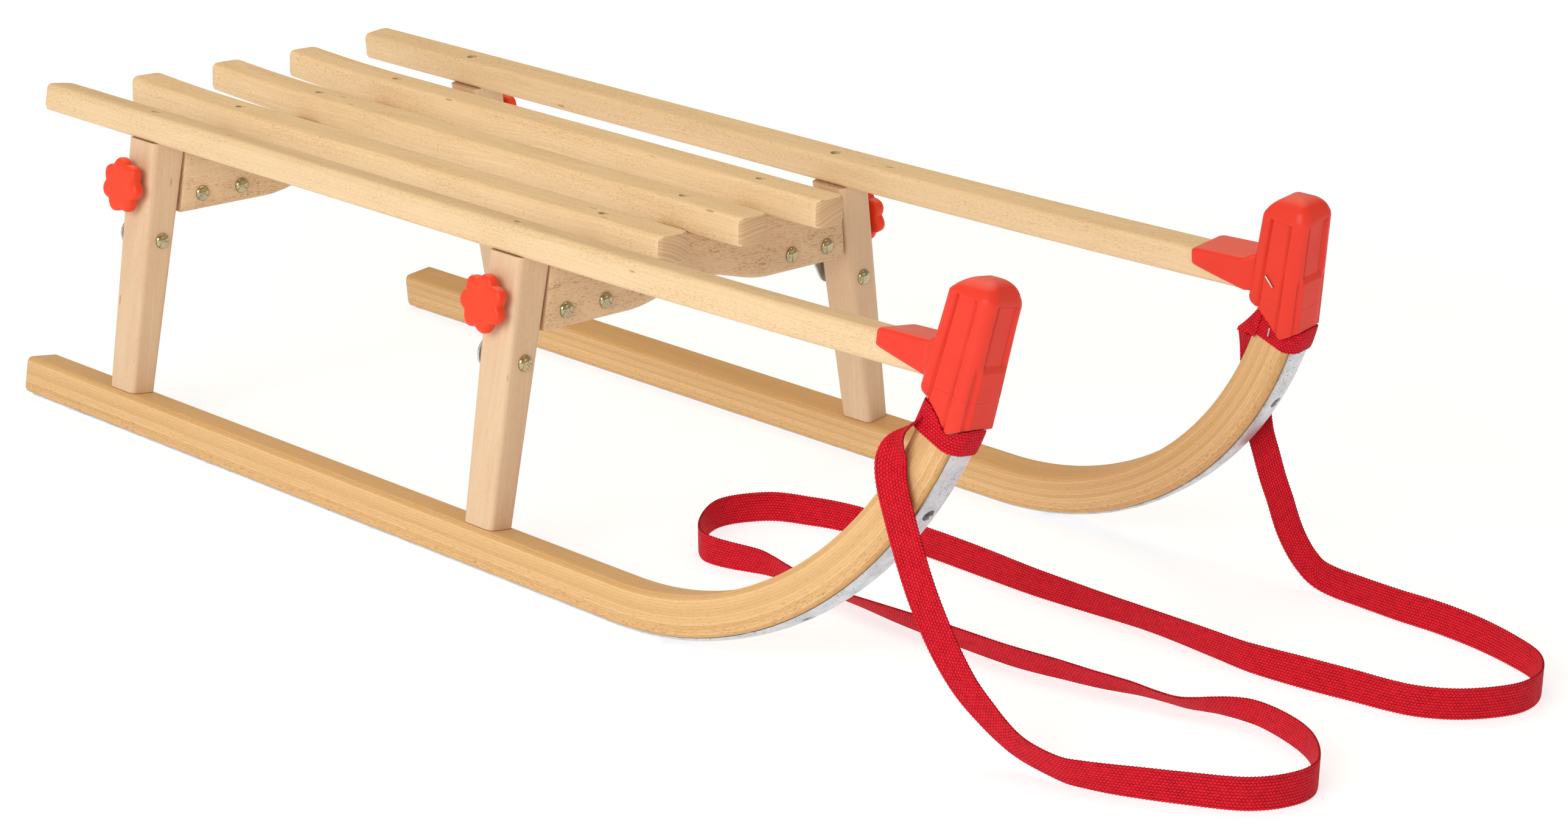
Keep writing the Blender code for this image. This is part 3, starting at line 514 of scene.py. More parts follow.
def wood_end(name, light, deep):
    """End grain: year rings as arcs, with fine pores and rays."""
    m = Nodes(name)
    g = m.attribute("grain").outputs["Vector"]
    piece = m.attribute("piece").outputs["Fac"]
    mm = m.vec("MULTIPLY", g, (1000.0, 1000.0, 1000.0))
    x, u, a = m.split(mm)[0:3]
    off = m.math("MULTIPLY", m.math("SINE", m.math("MULTIPLY", piece, 2.4)), 38.0)
    du = m.math("ADD", u, 66.0)
    da = m.math("ADD", a, off)
    dist = m.math("SQRT", m.math("ADD", m.math("MULTIPLY", du, du), m.math("MULTIPLY", da, da)))
    rings = m.noise1(m.math("MULTIPLY", dist, 0.32), 1.6, 3.0, 0.6)
    angle = m.math("ARCTAN2", da, du)
    rays = m.noise1(m.math("MULTIPLY", angle, 130.0), 1.0, 2.0, 0.6)
    pores = m.noise(m.join(0.0, m.math("MULTIPLY", u, 4.0), m.math("MULTIPLY", a, 4.0)), 1.0, 2.0, 0.6)
    colour = m.mix(m.range(rings, 0.3, 0.7, 0.0, 0.8), light, deep)
    colour = m.mix(m.range(rays, 0.55, 0.8, 0.0, 0.35), colour, deep)
    colour = m.mix(m.range(pores, 0.55, 0.75, 0.0, 0.5), colour, deep)
    m.link(colour, m.shader.inputs["Base Color"])
    m.shader.inputs["Roughness"].default_value = 0.62
    m.bump(pores, 0.25, 0.00015)
    return m.mat


def laminate(name):
    """Runner wood: thin layers that follow the bend, each with its own tone, and glue lines between."""
    m = Nodes(name)
    g = m.attribute("grain").outputs["Vector"]
    piece = m.attribute("piece").outputs["Fac"]
    mm = m.vec("MULTIPLY", g, (1000.0, 1000.0, 1000.0))
    x, u, a = m.split(mm)[0:3]
    wob = m.noise(m.join(m.math("MULTIPLY", x, 0.008), m.math("MULTIPLY", a, 0.02), piece), 1.0, 1.0)
    h = m.math("ADD", u, m.math("MULTIPLY", wob, 0.8))
    layer = m.math("DIVIDE", h, 2.15)
    index = m.math("FLOOR", layer)
    white = m.new("ShaderNodeTexWhiteNoise", noise_dimensions="2D")
    m.link(m.join(index, m.math("ROUND", piece), 0.0), white.inputs["Vector"])
    tone = white.outputs["Value"]
    inside = m.math("FRACT", layer)
    line = m.math("ABSOLUTE", m.math("SUBTRACT", inside, 0.5))
    glue = m.range(line, 0.40, 0.5)
    fibre = m.noise(m.join(m.math("MULTIPLY", x, 0.03), m.math("ADD", m.math("MULTIPLY", u, 1.6), m.math("MULTIPLY", index, 7.3)), m.math("MULTIPLY", a, 1.3)), 1.0, 4.0, 0.62)
    wide = m.noise(m.join(m.math("MULTIPLY", x, 0.006), m.math("MULTIPLY", index, 3.1), m.math("MULTIPLY", a, 0.16)), 1.0, 3.0, 0.55)
    cell = m.noise(m.join(m.math("MULTIPLY", x, 0.22), m.math("MULTIPLY", u, 2.0), m.math("MULTIPLY", a, 2.0)), 1.0, 1.0, 0.5)
    low = m.range(u, 3.0, 13.0, 1.0, 0.35)
    flecks = m.math("MULTIPLY", m.range(cell, 0.575, 0.66), m.math("MULTIPLY", low, 0.85))
    colour = m.mix(m.range(tone, 0.0, 1.0), (0.755, 0.500, 0.235), (0.590, 0.330, 0.120))
    colour = m.mix(m.range(wide, 0.35, 0.7, 0.0, 0.5), colour, (0.72, 0.47, 0.235))
    colour = m.mix(m.range(fibre, 0.4, 0.75, 0.0, 0.5), colour, (0.60, 0.36, 0.14))
    colour = m.mix(m.range(u, 0.6, 2.6, 0.5, 0.0), colour, (0.55, 0.27, 0.07))
    colour = m.mix(m.math("MULTIPLY", glue, 0.50), colour, (0.42, 0.22, 0.08))
    colour = m.mix(flecks, colour, (0.40, 0.20, 0.07))
    m.link(colour, m.shader.inputs["Base Color"])
    m.link(m.range(fibre, 0.3, 0.7, 0.42, 0.56), m.shader.inputs["Roughness"])
    m.shader.inputs["Specular IOR Level"].default_value = 0.42
    height = m.math("ADD", m.math("MULTIPLY", fibre, 0.5), m.math("MULTIPLY", glue, -0.5))
    m.bump(height, 0.25, 0.00014)
    return m.mat


def plastic(name, colour, darker, rough):
    m = Nodes(name)
    co = m.new("ShaderNodeTexCoord").outputs["Object"]
    fine = m.noise(co, 2600.0, 2.0, 0.6)
    broad = m.noise(co, 42.0, 3.0, 0.55)
    scuff = m.noise(co, 420.0, 3.0, 0.7)
    out = m.mix(m.range(broad, 0.35, 0.7, 0.0, 0.35), colour, darker)
    out = m.mix(m.range(scuff, 0.68, 0.78, 0.0, 0.14), out, (1.0, 0.30, 0.20))
    # painted shade: ambient occlusion darkens the base colour in the grooves and hollows of the moulding
    hollow = m.new("ShaderNodeAmbientOcclusion", samples=8)
    hollow.inputs["Distance"].default_value = 0.0045
    up = m.split(m.new("ShaderNodeNewGeometry").outputs["Normal"])[2]
    # painted sheen: faces turned upwards are made paler, standing in for the top light's glint
    out = m.mix(m.range(up, 0.70, 1.0, 0.0, 0.34), out, (0.84, 0.30, 0.24))
    out = m.mix(m.range(hollow.outputs["AO"], 0.32, 0.84, 0.8, 0.0), out, (0.32, 0.007, 0.004))
    m.link(out, m.shader.inputs["Base Color"])
    m.link(m.range(broad, 0.3, 0.7, rough - 0.05, rough + 0.07), m.shader.inputs["Roughness"])
    m.shader.inputs["IOR"].default_value = 1.5
    m.shader.inputs["Specular IOR Level"].default_value = 0.22
    m.shader.inputs["Subsurface Weight"].default_value = 0.04
    m.shader.inputs["Subsurface Radius"].default_value = (0.004, 0.0012, 0.0008)
    m.shader.inputs["Subsurface Scale"].default_value = 0.5
    m.bump(m.math("ADD", m.math("MULTIPLY", fine, 0.6), m.math("MULTIPLY", scuff, 0.6)), 0.12, 0.00006)
    return m.mat


def webbing(name):
    """Woven webbing: rows of slanted stitches, each row offset by half a stitch, from the UV map in millimetres / 100."""
    m = Nodes(name)
    uv = m.new("ShaderNodeUVMap", uv_map="UVMap").outputs[0]
    mm = m.vec("MULTIPLY", uv, (100.0, 100.0, 0.0))
    u, v = m.split(mm)[0:2]
    col = m.math("DIVIDE", v, 2.0)
    column = m.math("FLOOR", col)
    across = m.math("SUBTRACT", m.math("FRACT", col), 0.5)
    parity = m.math("MODULO", m.math("ADD", column, 400.0), 2.0)
    lean = m.math("MULTIPLY", m.math("SUBTRACT", m.math("MULTIPLY", parity, 2.0), 1.0), 0.5)
    along = m.math("ADD", m.math("DIVIDE", u, 2.4), m.math("MULTIPLY", across, lean))
    along = m.math("ADD", along, m.math("MULTIPLY", parity, 0.5))
    row = m.math("FLOOR", along)
    inside = m.math("SUBTRACT", m.math("FRACT", along), 0.5)
    ha = m.math("COSINE", m.math("MULTIPLY", inside, math.pi))
    hb = m.math("COSINE", m.math("MULTIPLY", across, math.pi))
    bumpy = m.math("MULTIPLY", m.math("POWER", m.math("MAXIMUM", ha, 0.0), 0.6), m.math("POWER", m.math("MAXIMUM", hb, 0.0), 0.6))
    strand = m.math("SINE", m.math("MULTIPLY", across, 34.0))
    white = m.new("ShaderNodeTexWhiteNoise", noise_dimensions="2D")
    m.link(m.join(row, column, 0.0), white.inputs["Vector"])
    jitter = white.outputs["Value"]
    # painted shade and highlight: colour follows the stitch height, dark in the gaps between stitches and light on the
    # crowns
    colour = m.mix(m.range(bumpy, 0.15, 0.9), (0.15, 0.0015, 0.006), (0.84, 0.013, 0.030))
    colour = m.mix(m.math("MULTIPLY", jitter, 0.35), colour, (0.97, 0.020, 0.040))
    fuzz = m.noise(mm, 0.22, 3.0, 0.6)
    colour = m.mix(m.range(fuzz, 0.4, 0.7, 0.0, 0.25), colour, (0.56, 0.004, 0.015))
    m.link(colour, m.shader.inputs["Base Color"])
    m.shader.inputs["Roughness"].default_value = 0.62
    m.shader.inputs["Sheen Weight"].default_value = 0.01
    m.shader.inputs["Sheen Roughness"].default_value = 0.45
    m.shader.inputs["Sheen Tint"].default_value = (1.0, 0.45, 0.5, 1.0)
    m.shader.inputs["Specular IOR Level"].default_value = 0.08
    height = m.math("ADD", bumpy, m.math("MULTIPLY", strand, 0.05))
    m.bump(height, 0.9, 0.0006)
    return m.mat


def galvanised(name):
    """Zinc coat: pale blotches and dark specks."""
    m = Nodes(name)
    co = m.new("ShaderNodeTexCoord").outputs["Object"]
    spangle = m.new("ShaderNodeTexVoronoi", feature="F1")
    spangle.inputs["Scale"].default_value = 180.0
    m.link(co, spangle.inputs["Vector"])
    broad = m.noise(co, 70.0, 3.0, 0.6)
    speck = m.noise(co, 620.0, 3.0, 0.7)
    where = m.noise(co, 38.0, 2.0, 0.6)
    dots = m.math("MULTIPLY", m.range(speck, 0.585, 0.64), m.range(where, 0.42, 0.62, 0.25, 1.0))
    colour = m.mix(m.range(broad, 0.3, 0.7), (0.68, 0.70, 0.73), (0.50, 0.53, 0.56))
    colour = m.mix(m.math("MULTIPLY", m.split(spangle.outputs["Color"])[0], 0.30), colour, (0.72, 0.74, 0.76))
    colour = m.mix(m.math("MULTIPLY", dots, 0.85), colour, (0.12, 0.12, 0.13))
    m.link(colour, m.shader.inputs["Base Color"])
    m.shader.inputs["Metallic"].default_value = 0.8
    m.link(m.math("ADD", m.range(broad, 0.3, 0.7, 0.36, 0.5), m.math("MULTIPLY", dots, 0.3)), m.shader.inputs["Roughness"])
    m.bump(m.math("ADD", broad, m.math("MULTIPLY", speck, 0.5)), 0.35, 0.0003)
    return m.mat


def zinc(name, colour, other, rough):
    m = Nodes(name)
    co = m.new("ShaderNodeTexCoord").outputs["Object"]
    broad = m.noise(co, 150.0, 2.0, 0.5)
    fine = m.noise(co, 1500.0, 2.0, 0.6)
    m.link(m.mix(m.range(broad, 0.35, 0.65), colour, other), m.shader.inputs["Base Color"])
    m.shader.inputs["Metallic"].default_value = 1.0
    m.link(m.range(fine, 0.3, 0.7, rough - 0.04, rough + 0.08), m.shader.inputs["Roughness"])
    m.bump(fine, 0.05, 0.00004)
    return m.mat


BEECH = wood("beech", (0.835, 0.640, 0.395), (0.700, 0.485, 0.262), (0.44, 0.25, 0.11), 0.55, 0.25)
BEECH_END = wood_end("beech_end_grain", (0.700, 0.490, 0.280), (0.50, 0.30, 0.15))
PALE = wood("beech_pale", (0.730, 0.545, 0.360), (0.620, 0.420, 0.255), (0.50, 0.27, 0.15), 0.30, 0.2, 3.0, 0.52, (0.67, 0.45, 0.29))
BEAM = wood("beech_flecked", (0.755, 0.555, 0.350), (0.630, 0.425, 0.240), (0.40, 0.20, 0.09), 1.0, 0.3, 4.0, 0.52, (0.64, 0.43, 0.25))
PALE_END = wood_end("beech_pale_end_grain", (0.680, 0.470, 0.290), (0.48, 0.28, 0.15))
LAMINATE = laminate("laminated_beech")
CAP_RED = plastic("cap_plastic", (0.740, 0.044, 0.024), (0.66, 0.034, 0.018), 0.40)
KNOB_RED = plastic("knob_plastic", (0.800, 0.056, 0.018), (0.74, 0.046, 0.016), 0.38)
WEB = webbing("red_webbing")
STEEL = galvanised("galvanised_steel")
YELLOW = zinc("yellow_zinc", (0.52, 0.44, 0.25), (0.38, 0.37, 0.25), 0.13)
STAPLE = zinc("staple_wire", (0.62, 0.60, 0.56), (0.50, 0.48, 0.45), 0.3)
DARK = zinc("screw_steel", (0.20, 0.19, 0.18), (0.11, 0.10, 0.10), 0.36)


# ------------------------------------------------------------------- bars
def bar(x0, x1, a0, a1, b0, b1, radius, lift, bow, place, mids):
    """Rings of a straight bar along x, with slightly bowed ends and rounded upright corners, from a centre point to a centre point."""
    half, mid, mid_b = (a1 - a0) / 2, (a0 + a1) / 2, (b0 + b1) / 2
    eased = [(d, 5.0 - math.sqrt(25.0 - (5.0 - d) ** 2), low) for d, low in ((0.0, 1.2), (0.25, 0.7), (0.8, 0.3), (1.8, 0.08), (3.3, 0.0), (5.0, 0.0))]
    eased += [(8.0, 0.0, 0.0), (12.0, 0.0, 0.0)]
    ends = [(x0 + d, i, low) for d, i, low in eased] + [(x, 0.0, 0.0) for x in mids]
    ends += [(x1 - d, i, low) for d, i, low in reversed(eased)]

    def point(x, a, b):
        near = max(0.0, 1 - min(x - x0, x1 - x) / 12.0)
        sign = 1 if x < (x0 + x1) / 2 else -1
        return place(x + sign * bow * near * ((a - mid) / half) ** 2, b + lift(x), a)

    rings = []
    for x, inset, low in ends:
        ring = rounded(a0 + inset, a1 - inset, b0 + low, b1 - low, radius, 5, 8, 5)
        rings.append([point(x, a, b) for a, b in ring])
    for first in (True, False):
        x = x0 if first else x1
        ring = rounded(a0 + 5, a1 - 5, b0 + 1.2, b1 - 1.2, radius, 5, 8, 5)
        caps = []
        for s in (0.8, 0.55, 0.28):
            caps.append([point(x, mid + (a - mid) * s, mid_b + (b - mid_b) * s) for a, b in ring])
        centre = [point(x, mid, mid_b)]
        rings = [centre] + list(reversed(caps)) + rings if first else rings + caps + [centre]
    return rings


def spaced(a, b, step):
    n = max(1, round((b - a) / step))
    return [a + (b - a) * k / n for k in range(n + 1)]


def make_slats():
    for k, (y, tag) in enumerate(((-SLAT_PITCH, "right"), (0.0, "middle"), (SLAT_PITCH, "left"))):
        rings = bar(
            SLAT_REAR,
            SLAT_FRONT,
            y - SLAT_WIDE / 2,
            y + SLAT_WIDE / 2,
            SLAT_UNDER,
            SLAT_TOP,
            4.5,
            slat_lift,
            1.5,
            lambda x, z, a: on_seat(x, a, z),
            spaced(SLAT_REAR + 24, -20, 14) + spaced(-8, SLAT_FRONT - 24, 40),
        )
        obj = make("slat_" + tag, skin(rings), [BEECH, BEECH_END], None, "seat", ["seat_slat_" + tag])
        tools = []
        for row in ROWS.values():
            tools.append(cylinder((row - MIDDLE_X, y, SLAT_TOP - 7.0 + FLOOR_DROP), (0, 0, 1), 4.0, 15, 40, 0.35))
            tools.append(cylinder((row - MIDDLE_X, y, SLAT_UNDER - 5.0 + FLOOR_DROP), (0, 0, 1), 2.4, 21, 16))
        cut(obj, tools)
        resharpen(obj)
        grain(obj, lambda p, y=y: (off_seat(p)[0], off_seat(p)[2], off_seat(p)[1] - y), 3 + k)


def make_rails():
    for k, (side, tag) in enumerate(SIDES):
        rings = bar(
            RAIL_REAR,
            RAIL_FRONT,
            -RAIL_WIDE,
            0.0,
            0.0,
            RAIL_TOP,
            4.5,
            rail_lift,
            1.5,
            lambda x, v, w, side=side: on_side(side, x, v, w),
            spaced(RAIL_REAR + 24, LEG_ROW, 40) + spaced(LEG_ROW + 20, RAIL_FRONT - 20, 20),
        )
        obj = make("rail_" + tag, skin(rings), [BEECH, BEECH_END], None, "side_frame_" + tag, ["side_rail_" + tag])
        up = on_side(side, 0, 1, 0) - on_side(side, 0, 0, 0)
        tools = []
        for row in ROWS.values():
            tools.append(cylinder(on_side(side, row, RAIL_TOP - 7.0, SCREW_W) / MM, up, 4.0, 15, 40, 0.35))
            tools.append(cylinder(on_side(side, row, -5.0, SCREW_W) / MM, up, 2.4, RAIL_TOP, 16))
        cut(obj, tools)
        resharpen(obj)
        grain(obj, lambda p, side=side: off_side(side, p), 11 + k)


# ------------------------------------------------------------------- legs
def leg_section(f):
    return tuple(a + (b - a) * f for a, b in zip(LEG_HEAD, LEG_FOOT))


def make_legs():
    for k, (side, tag) in enumerate(SIDES):
        for j, (row, x0) in enumerate(ROWS.items()):
            rings = []
            for f in (0.0, 0.2, 0.4, 0.6, 0.8, 1.0):
                r, fr, i, o = leg_section(f)
                v = -GAP + (LEG_FOOT_V + GAP) * f
                ring = rounded(r, fr, i, o, 4.5, 6, 3, 3)
                rings.append([on_side(side, x0 + x, v, w) for x, w in ring])
            mid = lambda f: ((leg_section(f)[0] + leg_section(f)[1]) / 2, (leg_section(f)[2] + leg_section(f)[3]) / 2)  # noqa: E731
            top = [on_side(side, x0 + mid(0)[0], -GAP, mid(0)[1])]
            foot = [on_side(side, x0 + mid(1)[0], LEG_FOOT_V, mid(1)[1])]
            where = row + "_" + tag
            obj = make("leg_" + where + "_wood", skin([top] + rings + [foot]), [PALE, PALE_END], None, "side_frame_" + tag, ["leg_" + where])
            out = on_side(side, 0, 0, 1) - on_side(side, 0, 0, 0)
            up = on_side(side, 0, 1, 0) - on_side(side, 0, 0, 0)
            tools = [
                cylinder(on_side(side, x0, KNOB_V, -45) / MM, out, 4.6, 60, 32),
                cylinder(on_side(side, x0 - 30, PIVOT_V, PIVOT_W) / MM, (1, 0, 0), 3.4, 70, 32),
                cylinder(on_side(side, x0, -25.5, SCREW_W) / MM, up, 2.4, 40, 16),
            ]
            cut(obj, tools)
            resharpen(obj)

            def where_in(p, side=side, x0=x0):
                x, v, w = off_side(side, p)
                return v, w, x - x0

            grain(obj, where_in, 21 + 2 * k + j)


# ---------------------------------------------------------------- runners
def make_runners():
    for k, (side, tag) in enumerate(SIDES):
        runs = [RUNNER_REAR, RUNNER_REAR + 0.6, RUNNER_REAR + 1.5, RUNNER_REAR + 3.0]
        insets = [3.0, 1.7, 0.7, 0.0]
        for s in spaced(-90.0, RUNNER_BEND, 40.0) + spaced(RUNNER_BEND, PATH_END, 7.0)[1:]:
            runs.append(s)
            insets.append(0.0)
        rings = []
        for s, inset in zip(runs, insets):
            x, v, t = path_at(s)
            nx, nv = -math.sin(t), math.cos(t)
            top = thick_at(t)
            ring = rounded(RUNNER_IN + inset / 2, RUNNER_OUT - inset / 2, inset, top - inset, 3.5, 5, 5, 8)
            rings.append([on_side(side, x + nx * h, v + nv * h, w) for w, h in ring])
        mid = (RUNNER_IN + RUNNER_OUT) / 2
        first = [on_side(side, RUNNER_REAR, RUNNER_UNDER + RUNNER_THICK / 2, mid)]
        x, v, t = path_at(PATH_END)
        last = [on_side(side, x - math.sin(t) * 15, v + math.cos(t) * 15, mid)]
        obj = make("runner_" + tag + "_wood", skin([first] + rings + [last]), [LAMINATE, BEECH_END], None, "side_frame_" + tag, ["runner_" + tag])
        tools = []
        for row in ROWS.values():
            mid_x = row + (LEG_FOOT[0] + LEG_FOOT[1]) / 2
            outline = [(mid_x - 9.3, mid - 4.8), (mid_x + 9.3, mid - 4.8), (mid_x + 9.3, mid + 4.8), (mid_x - 9.3, mid + 4.8)]
            tools.append(prism(outline, LEG_FOOT_V - 17.5, LEG_FOOT_V + 10, lambda a, b, h, side=side: on_side(side, a, h, b)))
        cut(obj, tools)
        resharpen(obj)

        def where_in(p, side=side):
            x, v, w = off_side(side, p)
            s, h = off_path(x, v)
            return s, h, w

        grain(obj, where_in, 31 + k)


STRIP_SCREWS = (-60.0, 110.0, 300.0, 480.0)
STRIP_SCREW_ANGLES = (8.0, 34.0, 59.0)


def make_strips():
    """Half-oval steel under each runner, with its countersunk cross-head screws."""
    for side, tag in SIDES:
        runs = spaced(RUNNER_REAR + 6.0, RUNNER_BEND, 40.0) + spaced(RUNNER_BEND, run_of(71.5), 7.0)[1:]
        mid, half = (STRIP_IN + STRIP_OUT) / 2, (STRIP_OUT - STRIP_IN) / 2

        def section(shrink=0.0):
            ring = []
            for k in range(25):  # convex underside
                a = -1 + 2 * k / 24
                sag = STRIP_THICK * (0.42 + 0.58 * (1 - abs(a) ** 3.2))
                ring.append((mid + half * a, -GAP - sag + shrink))
            ring.append((mid + half, -GAP - 0.1))
            for k in range(7):
                ring.append((mid + half * (0.97 - 1.94 * k / 6), -GAP))
            ring.append((mid - half, -GAP - 0.1))
            return ring

        rings = []
        for s in runs:
            x, v, t = path_at(s)
            nx, nv = -math.sin(t), math.cos(t)
            rings.append([on_side(side, x + nx * h, v + nv * h, w) for w, h in section()])
        ends = []
        for s in (runs[0], runs[-1]):
            x, v, t = path_at(s)
            h = -GAP - STRIP_THICK / 2
            ends.append([on_side(side, x - math.sin(t) * h, v + math.cos(t) * h, mid)])
        obj = make("steel_" + tag, skin([ends[0]] + rings + [ends[1]]), STEEL, None, "side_frame_" + tag, ["runner_steel_" + tag])
        tools, screws = [], bmesh.new()
        for s in list(STRIP_SCREWS) + [run_of(a) for a in STRIP_SCREW_ANGLES]:
            x, v, t = path_at(s)
            nx, nv = -math.sin(t), math.cos(t)
            tx, tv = math.cos(t), math.sin(t)

            def place(p, q, h, x=x, v=v, nx=nx, nv=nv, tx=tx, tv=tv):
                return on_side(side, x + tx * p + nx * h, v + tv * p + nv * h, mid + q)

            tools.append(skin([[place(0, 0, 0.6)]] + turned([(2.9, 0.6), (4.6, -STRIP_THICK - GAP + 0.5), (4.6, -5)], place, 32) + [[place(0, 0, -5)]]))
            screws = cross_head(screws, place, 4.1, -STRIP_THICK - GAP + 0.75, 1.0)
        cut(obj, tools)
        resharpen(obj)
        make("steel_screws_" + tag, screws, DARK, 40.0, "side_frame_" + tag)


def cross_head(bm, place, radius, face, depth):
    """Screw head with a cross recess, facing -h; face is its height, the body goes up from it."""
    steps = 48
    rings = []
    for r_share, dome in ((0.0, 0.0), (0.14, 0.0), (0.3, 0.0), (0.5, 0.0), (0.62, 0.0), (0.78, 0.02), (0.92, 0.08), (1.0, 0.2)):
        ring = []
        for k in range(steps):
            a = 2 * math.pi * k / steps
            r = radius * r_share
            arm = min(abs(math.cos(2 * a)) ** 6, 1.0)
            sunk = depth * arm * (1.0 if r_share < 0.45 else max(0.0, 1 - (r_share - 0.45) / 0.12)) if r_share > 0.1 else depth
            if r_share == 0.14:
                sunk = depth
            ring.append(place(r * math.cos(a), r * math.sin(a), face + sunk + dome))
        rings.append([place(0, 0, face + depth)] if r_share == 0.0 else ring)
    rings.append([place(radius * 0.55 * math.cos(2 * math.pi * k / steps), radius * 0.55 * math.sin(2 * math.pi * k / steps), face + 2.4) for k in range(steps)])
    rings.append([place(0, 0, face + 2.4)])
    return skin(rings, bm=bm)


# --------------------------------------------------------------- tip caps
MOUTH = (
    (868.0, -60.0),
    (868.0, -18.0),
    (842.0, -19.0),
    (830.0, -24.0),
    (826.0, -21.5),
    (821.0, -15.0),
    (811.0, -5.0),
    (805.8, -1.6),
    (801.5, 4.5),
    (760.0, 4.5),
    (760.0, -60.0),
)


def bell(d, width):
    return math.exp(-((d / width) ** 2))


def tower_outline(hx, hw, front, rear):
    """Outline of the tower about its middle as (a, b, normal a, normal b); its front corners are rounder."""
    pts = []

    def flat(a0, b0, a1, b1, n, na, nb):
        for k in range(n):
            t = k / n
            pts.append((a0 + (a1 - a0) * t, b0 + (b1 - b0) * t, na, nb))

    def corner(ca, cb, r, start, n):
        for k in range(n):
            t = math.radians(start + 90 * k / n)
            pts.append((ca + r * math.cos(t), cb + r * math.sin(t), math.cos(t), math.sin(t)))

    flat(hx, -(hw - front), hx, hw - front, 44, 1, 0)
    corner(hx - front, hw - front, front, 0, 16)
    flat(hx - front, hw, -(hx - rear), hw, 60, 0, 1)
    corner(-(hx - rear), hw - rear, rear, 90, 8)
    flat(-hx, hw - rear, -hx, -(hw - rear), 30, -1, 0)
    corner(-(hx - rear), -(hw - rear), rear, 180, 8)
    flat(-(hx - rear), -hw, hx - front, -hw, 60, 0, -1)
    corner(hx - front, -(hw - front), front, 270, 16)
    return pts


def cap_tower(side):
    """Rings of the tower: rounded corners, grooves down its faces, a pad low on the front, a dome on top."""
    heights = spaced(-27.0, -4.5, 1.5) + spaced(-4.1, 5.5, 0.4) + spaced(6.5, 15.5, 1.5) + spaced(16.0, 22.0, 0.6)
    heights += spaced(23.5, 59.0, 1.6) + [60.0, 60.8, 61.4, 61.8, 62.1, 62.4]
    levels = [(v, 1.0) for v in heights]
    for k in range(1, 20):  # dome
        share = 1 - (k / 20.0) ** 1.25 if k > 3 else 1 - 0.012 * k
        levels.append((62.4 + 13.0 * max(0.0, 1 - share**2.3) ** 0.66, share))
    rings = []
    for v, share in levels:
        rear, front = 801.5 + 0.19 * v, 842.1 + 0.13 * v
        inner, outer = -28.0 + 0.02 * max(v, 0), 10.0 - 0.015 * max(v, 0)
        cx, cw = (rear + front) / 2, (inner + outer) / 2
        hx, hw = (front - rear) / 2, (outer - inner) / 2
        # the grooves are cut off by the dome's edge
        reach = min(1.0, max(0.0, (62.3 - v) / 0.9))
        upper = min(1.0, max(0.0, (v - 16.4) / 4.9))
        rise = min(1.0, max(0.0, (v - 38.0) / 24.0)) if share == 1.0 else max(0.0, (75.4 - v) / 13.0)
        ring = []
        for a, b, na, nb in tower_outline(hx, hw, 9.0, 5.0):
            depth = 0.0
            if abs(nb) > 0.9:  # side faces
                g1, g2 = -hx * 0.50, hx * 0.36
                for g in (g1, g2):
                    depth += 1.9 * max(0.0, 1 - abs(a - g) / 1.75) ** 1.15
                if g1 < a < g2:
                    depth += 0.75 * min(1.0, (a - g1) / 1.2, (g2 - a) / 1.2)
            elif na > 0.8:  # front face
                g1, g2 = -hw * 0.55, hw * 0.45
                for g in (g1, g2):
                    depth += 1.9 * max(0.0, 1 - abs(b - g) / 1.75) ** 1.15 * upper
                if g1 < b < g2:
                    depth += 1.7 * min(1.0, (b - g1) / 1.2, (g2 - b) / 1.2) * upper
                lower = 1 - upper
                depth += 1.5 * bell(b - hw * 0.68, 2.4) * lower
                depth += 1.2 * bell(b + hw * 0.76, 2.0) * lower
                if -hw * 0.66 < b < hw * 0.56:
                    depth -= 0.5 * lower
            depth *= reach
            # mould line, a little lower towards the front
            line = 3.7 if a < -hx + 2 else 3.7 - 2.4 * (a + hx) / (1.3 * hx) if a < 0.3 * hx else 1.3 - 3.2 * (a / hx - 0.3) / 0.7
            depth += 0.3 * bell(v - line, 0.34)
            x, w = cx + (a - na * depth) * share, cw + (b - nb * depth) * share
            edge = 64.4 - 0.10 * (x - 816.0) - 0.07 * (9.0 - w)
            ring.append((x, w, v + (edge - 62.4) * rise * rise))
        rings.append([on_side(side, x, h, w) for x, w, h in ring])
    return rings


def cap_sleeve(side):
    """Rings of the wedge over the rail's end, flared where it meets the tower."""
    rings = []
    stations = (
        (756.6, 15.5, 26.0, -29.6, 1.8, 1.6),
        (757.4, 14.9, 26.7, -30.1, 2.3, 2.4),
        (759.5, 14.2, 27.5, -30.3, 2.6, 2.6),
        (762.0, 13.6, 28.0, -30.4, 2.7, 2.6),
        (775.0, 10.8, 28.5, -30.4, 3.0, 2.6),
        (788.0, 8.1, 28.9, -30.4, 3.3, 2.6),
        (797.0, 6.2, 29.2, -30.4, 3.6, 2.6),
        (800.5, 5.5, 29.6, -30.3, 4.2, 2.8),
        (802.6, 5.5, 30.3, -29.8, 5.3, 3.2),
        (804.2, 5.5, 31.6, -29.1, 6.9, 3.6),
        (808.0, 5.5, 33.0, -26.6, 7.2, 3.6),
        (814.0, 5.5, 33.0, -22.0, 6.0, 3.6),
    )
    for x, v0, v1, w0, w1, r in stations:
        ring = rounded(w0, w1, v0, v1, r, 5, 6, 4)
        rings.append([on_side(side, x, v, w) for w, v in ring])
    first = [on_side(side, stations[0][0], 20.5, -13.5)]
    last = [on_side(side, stations[-1][0], 19.0, -6.0)]
    return [first] + rings + [last]


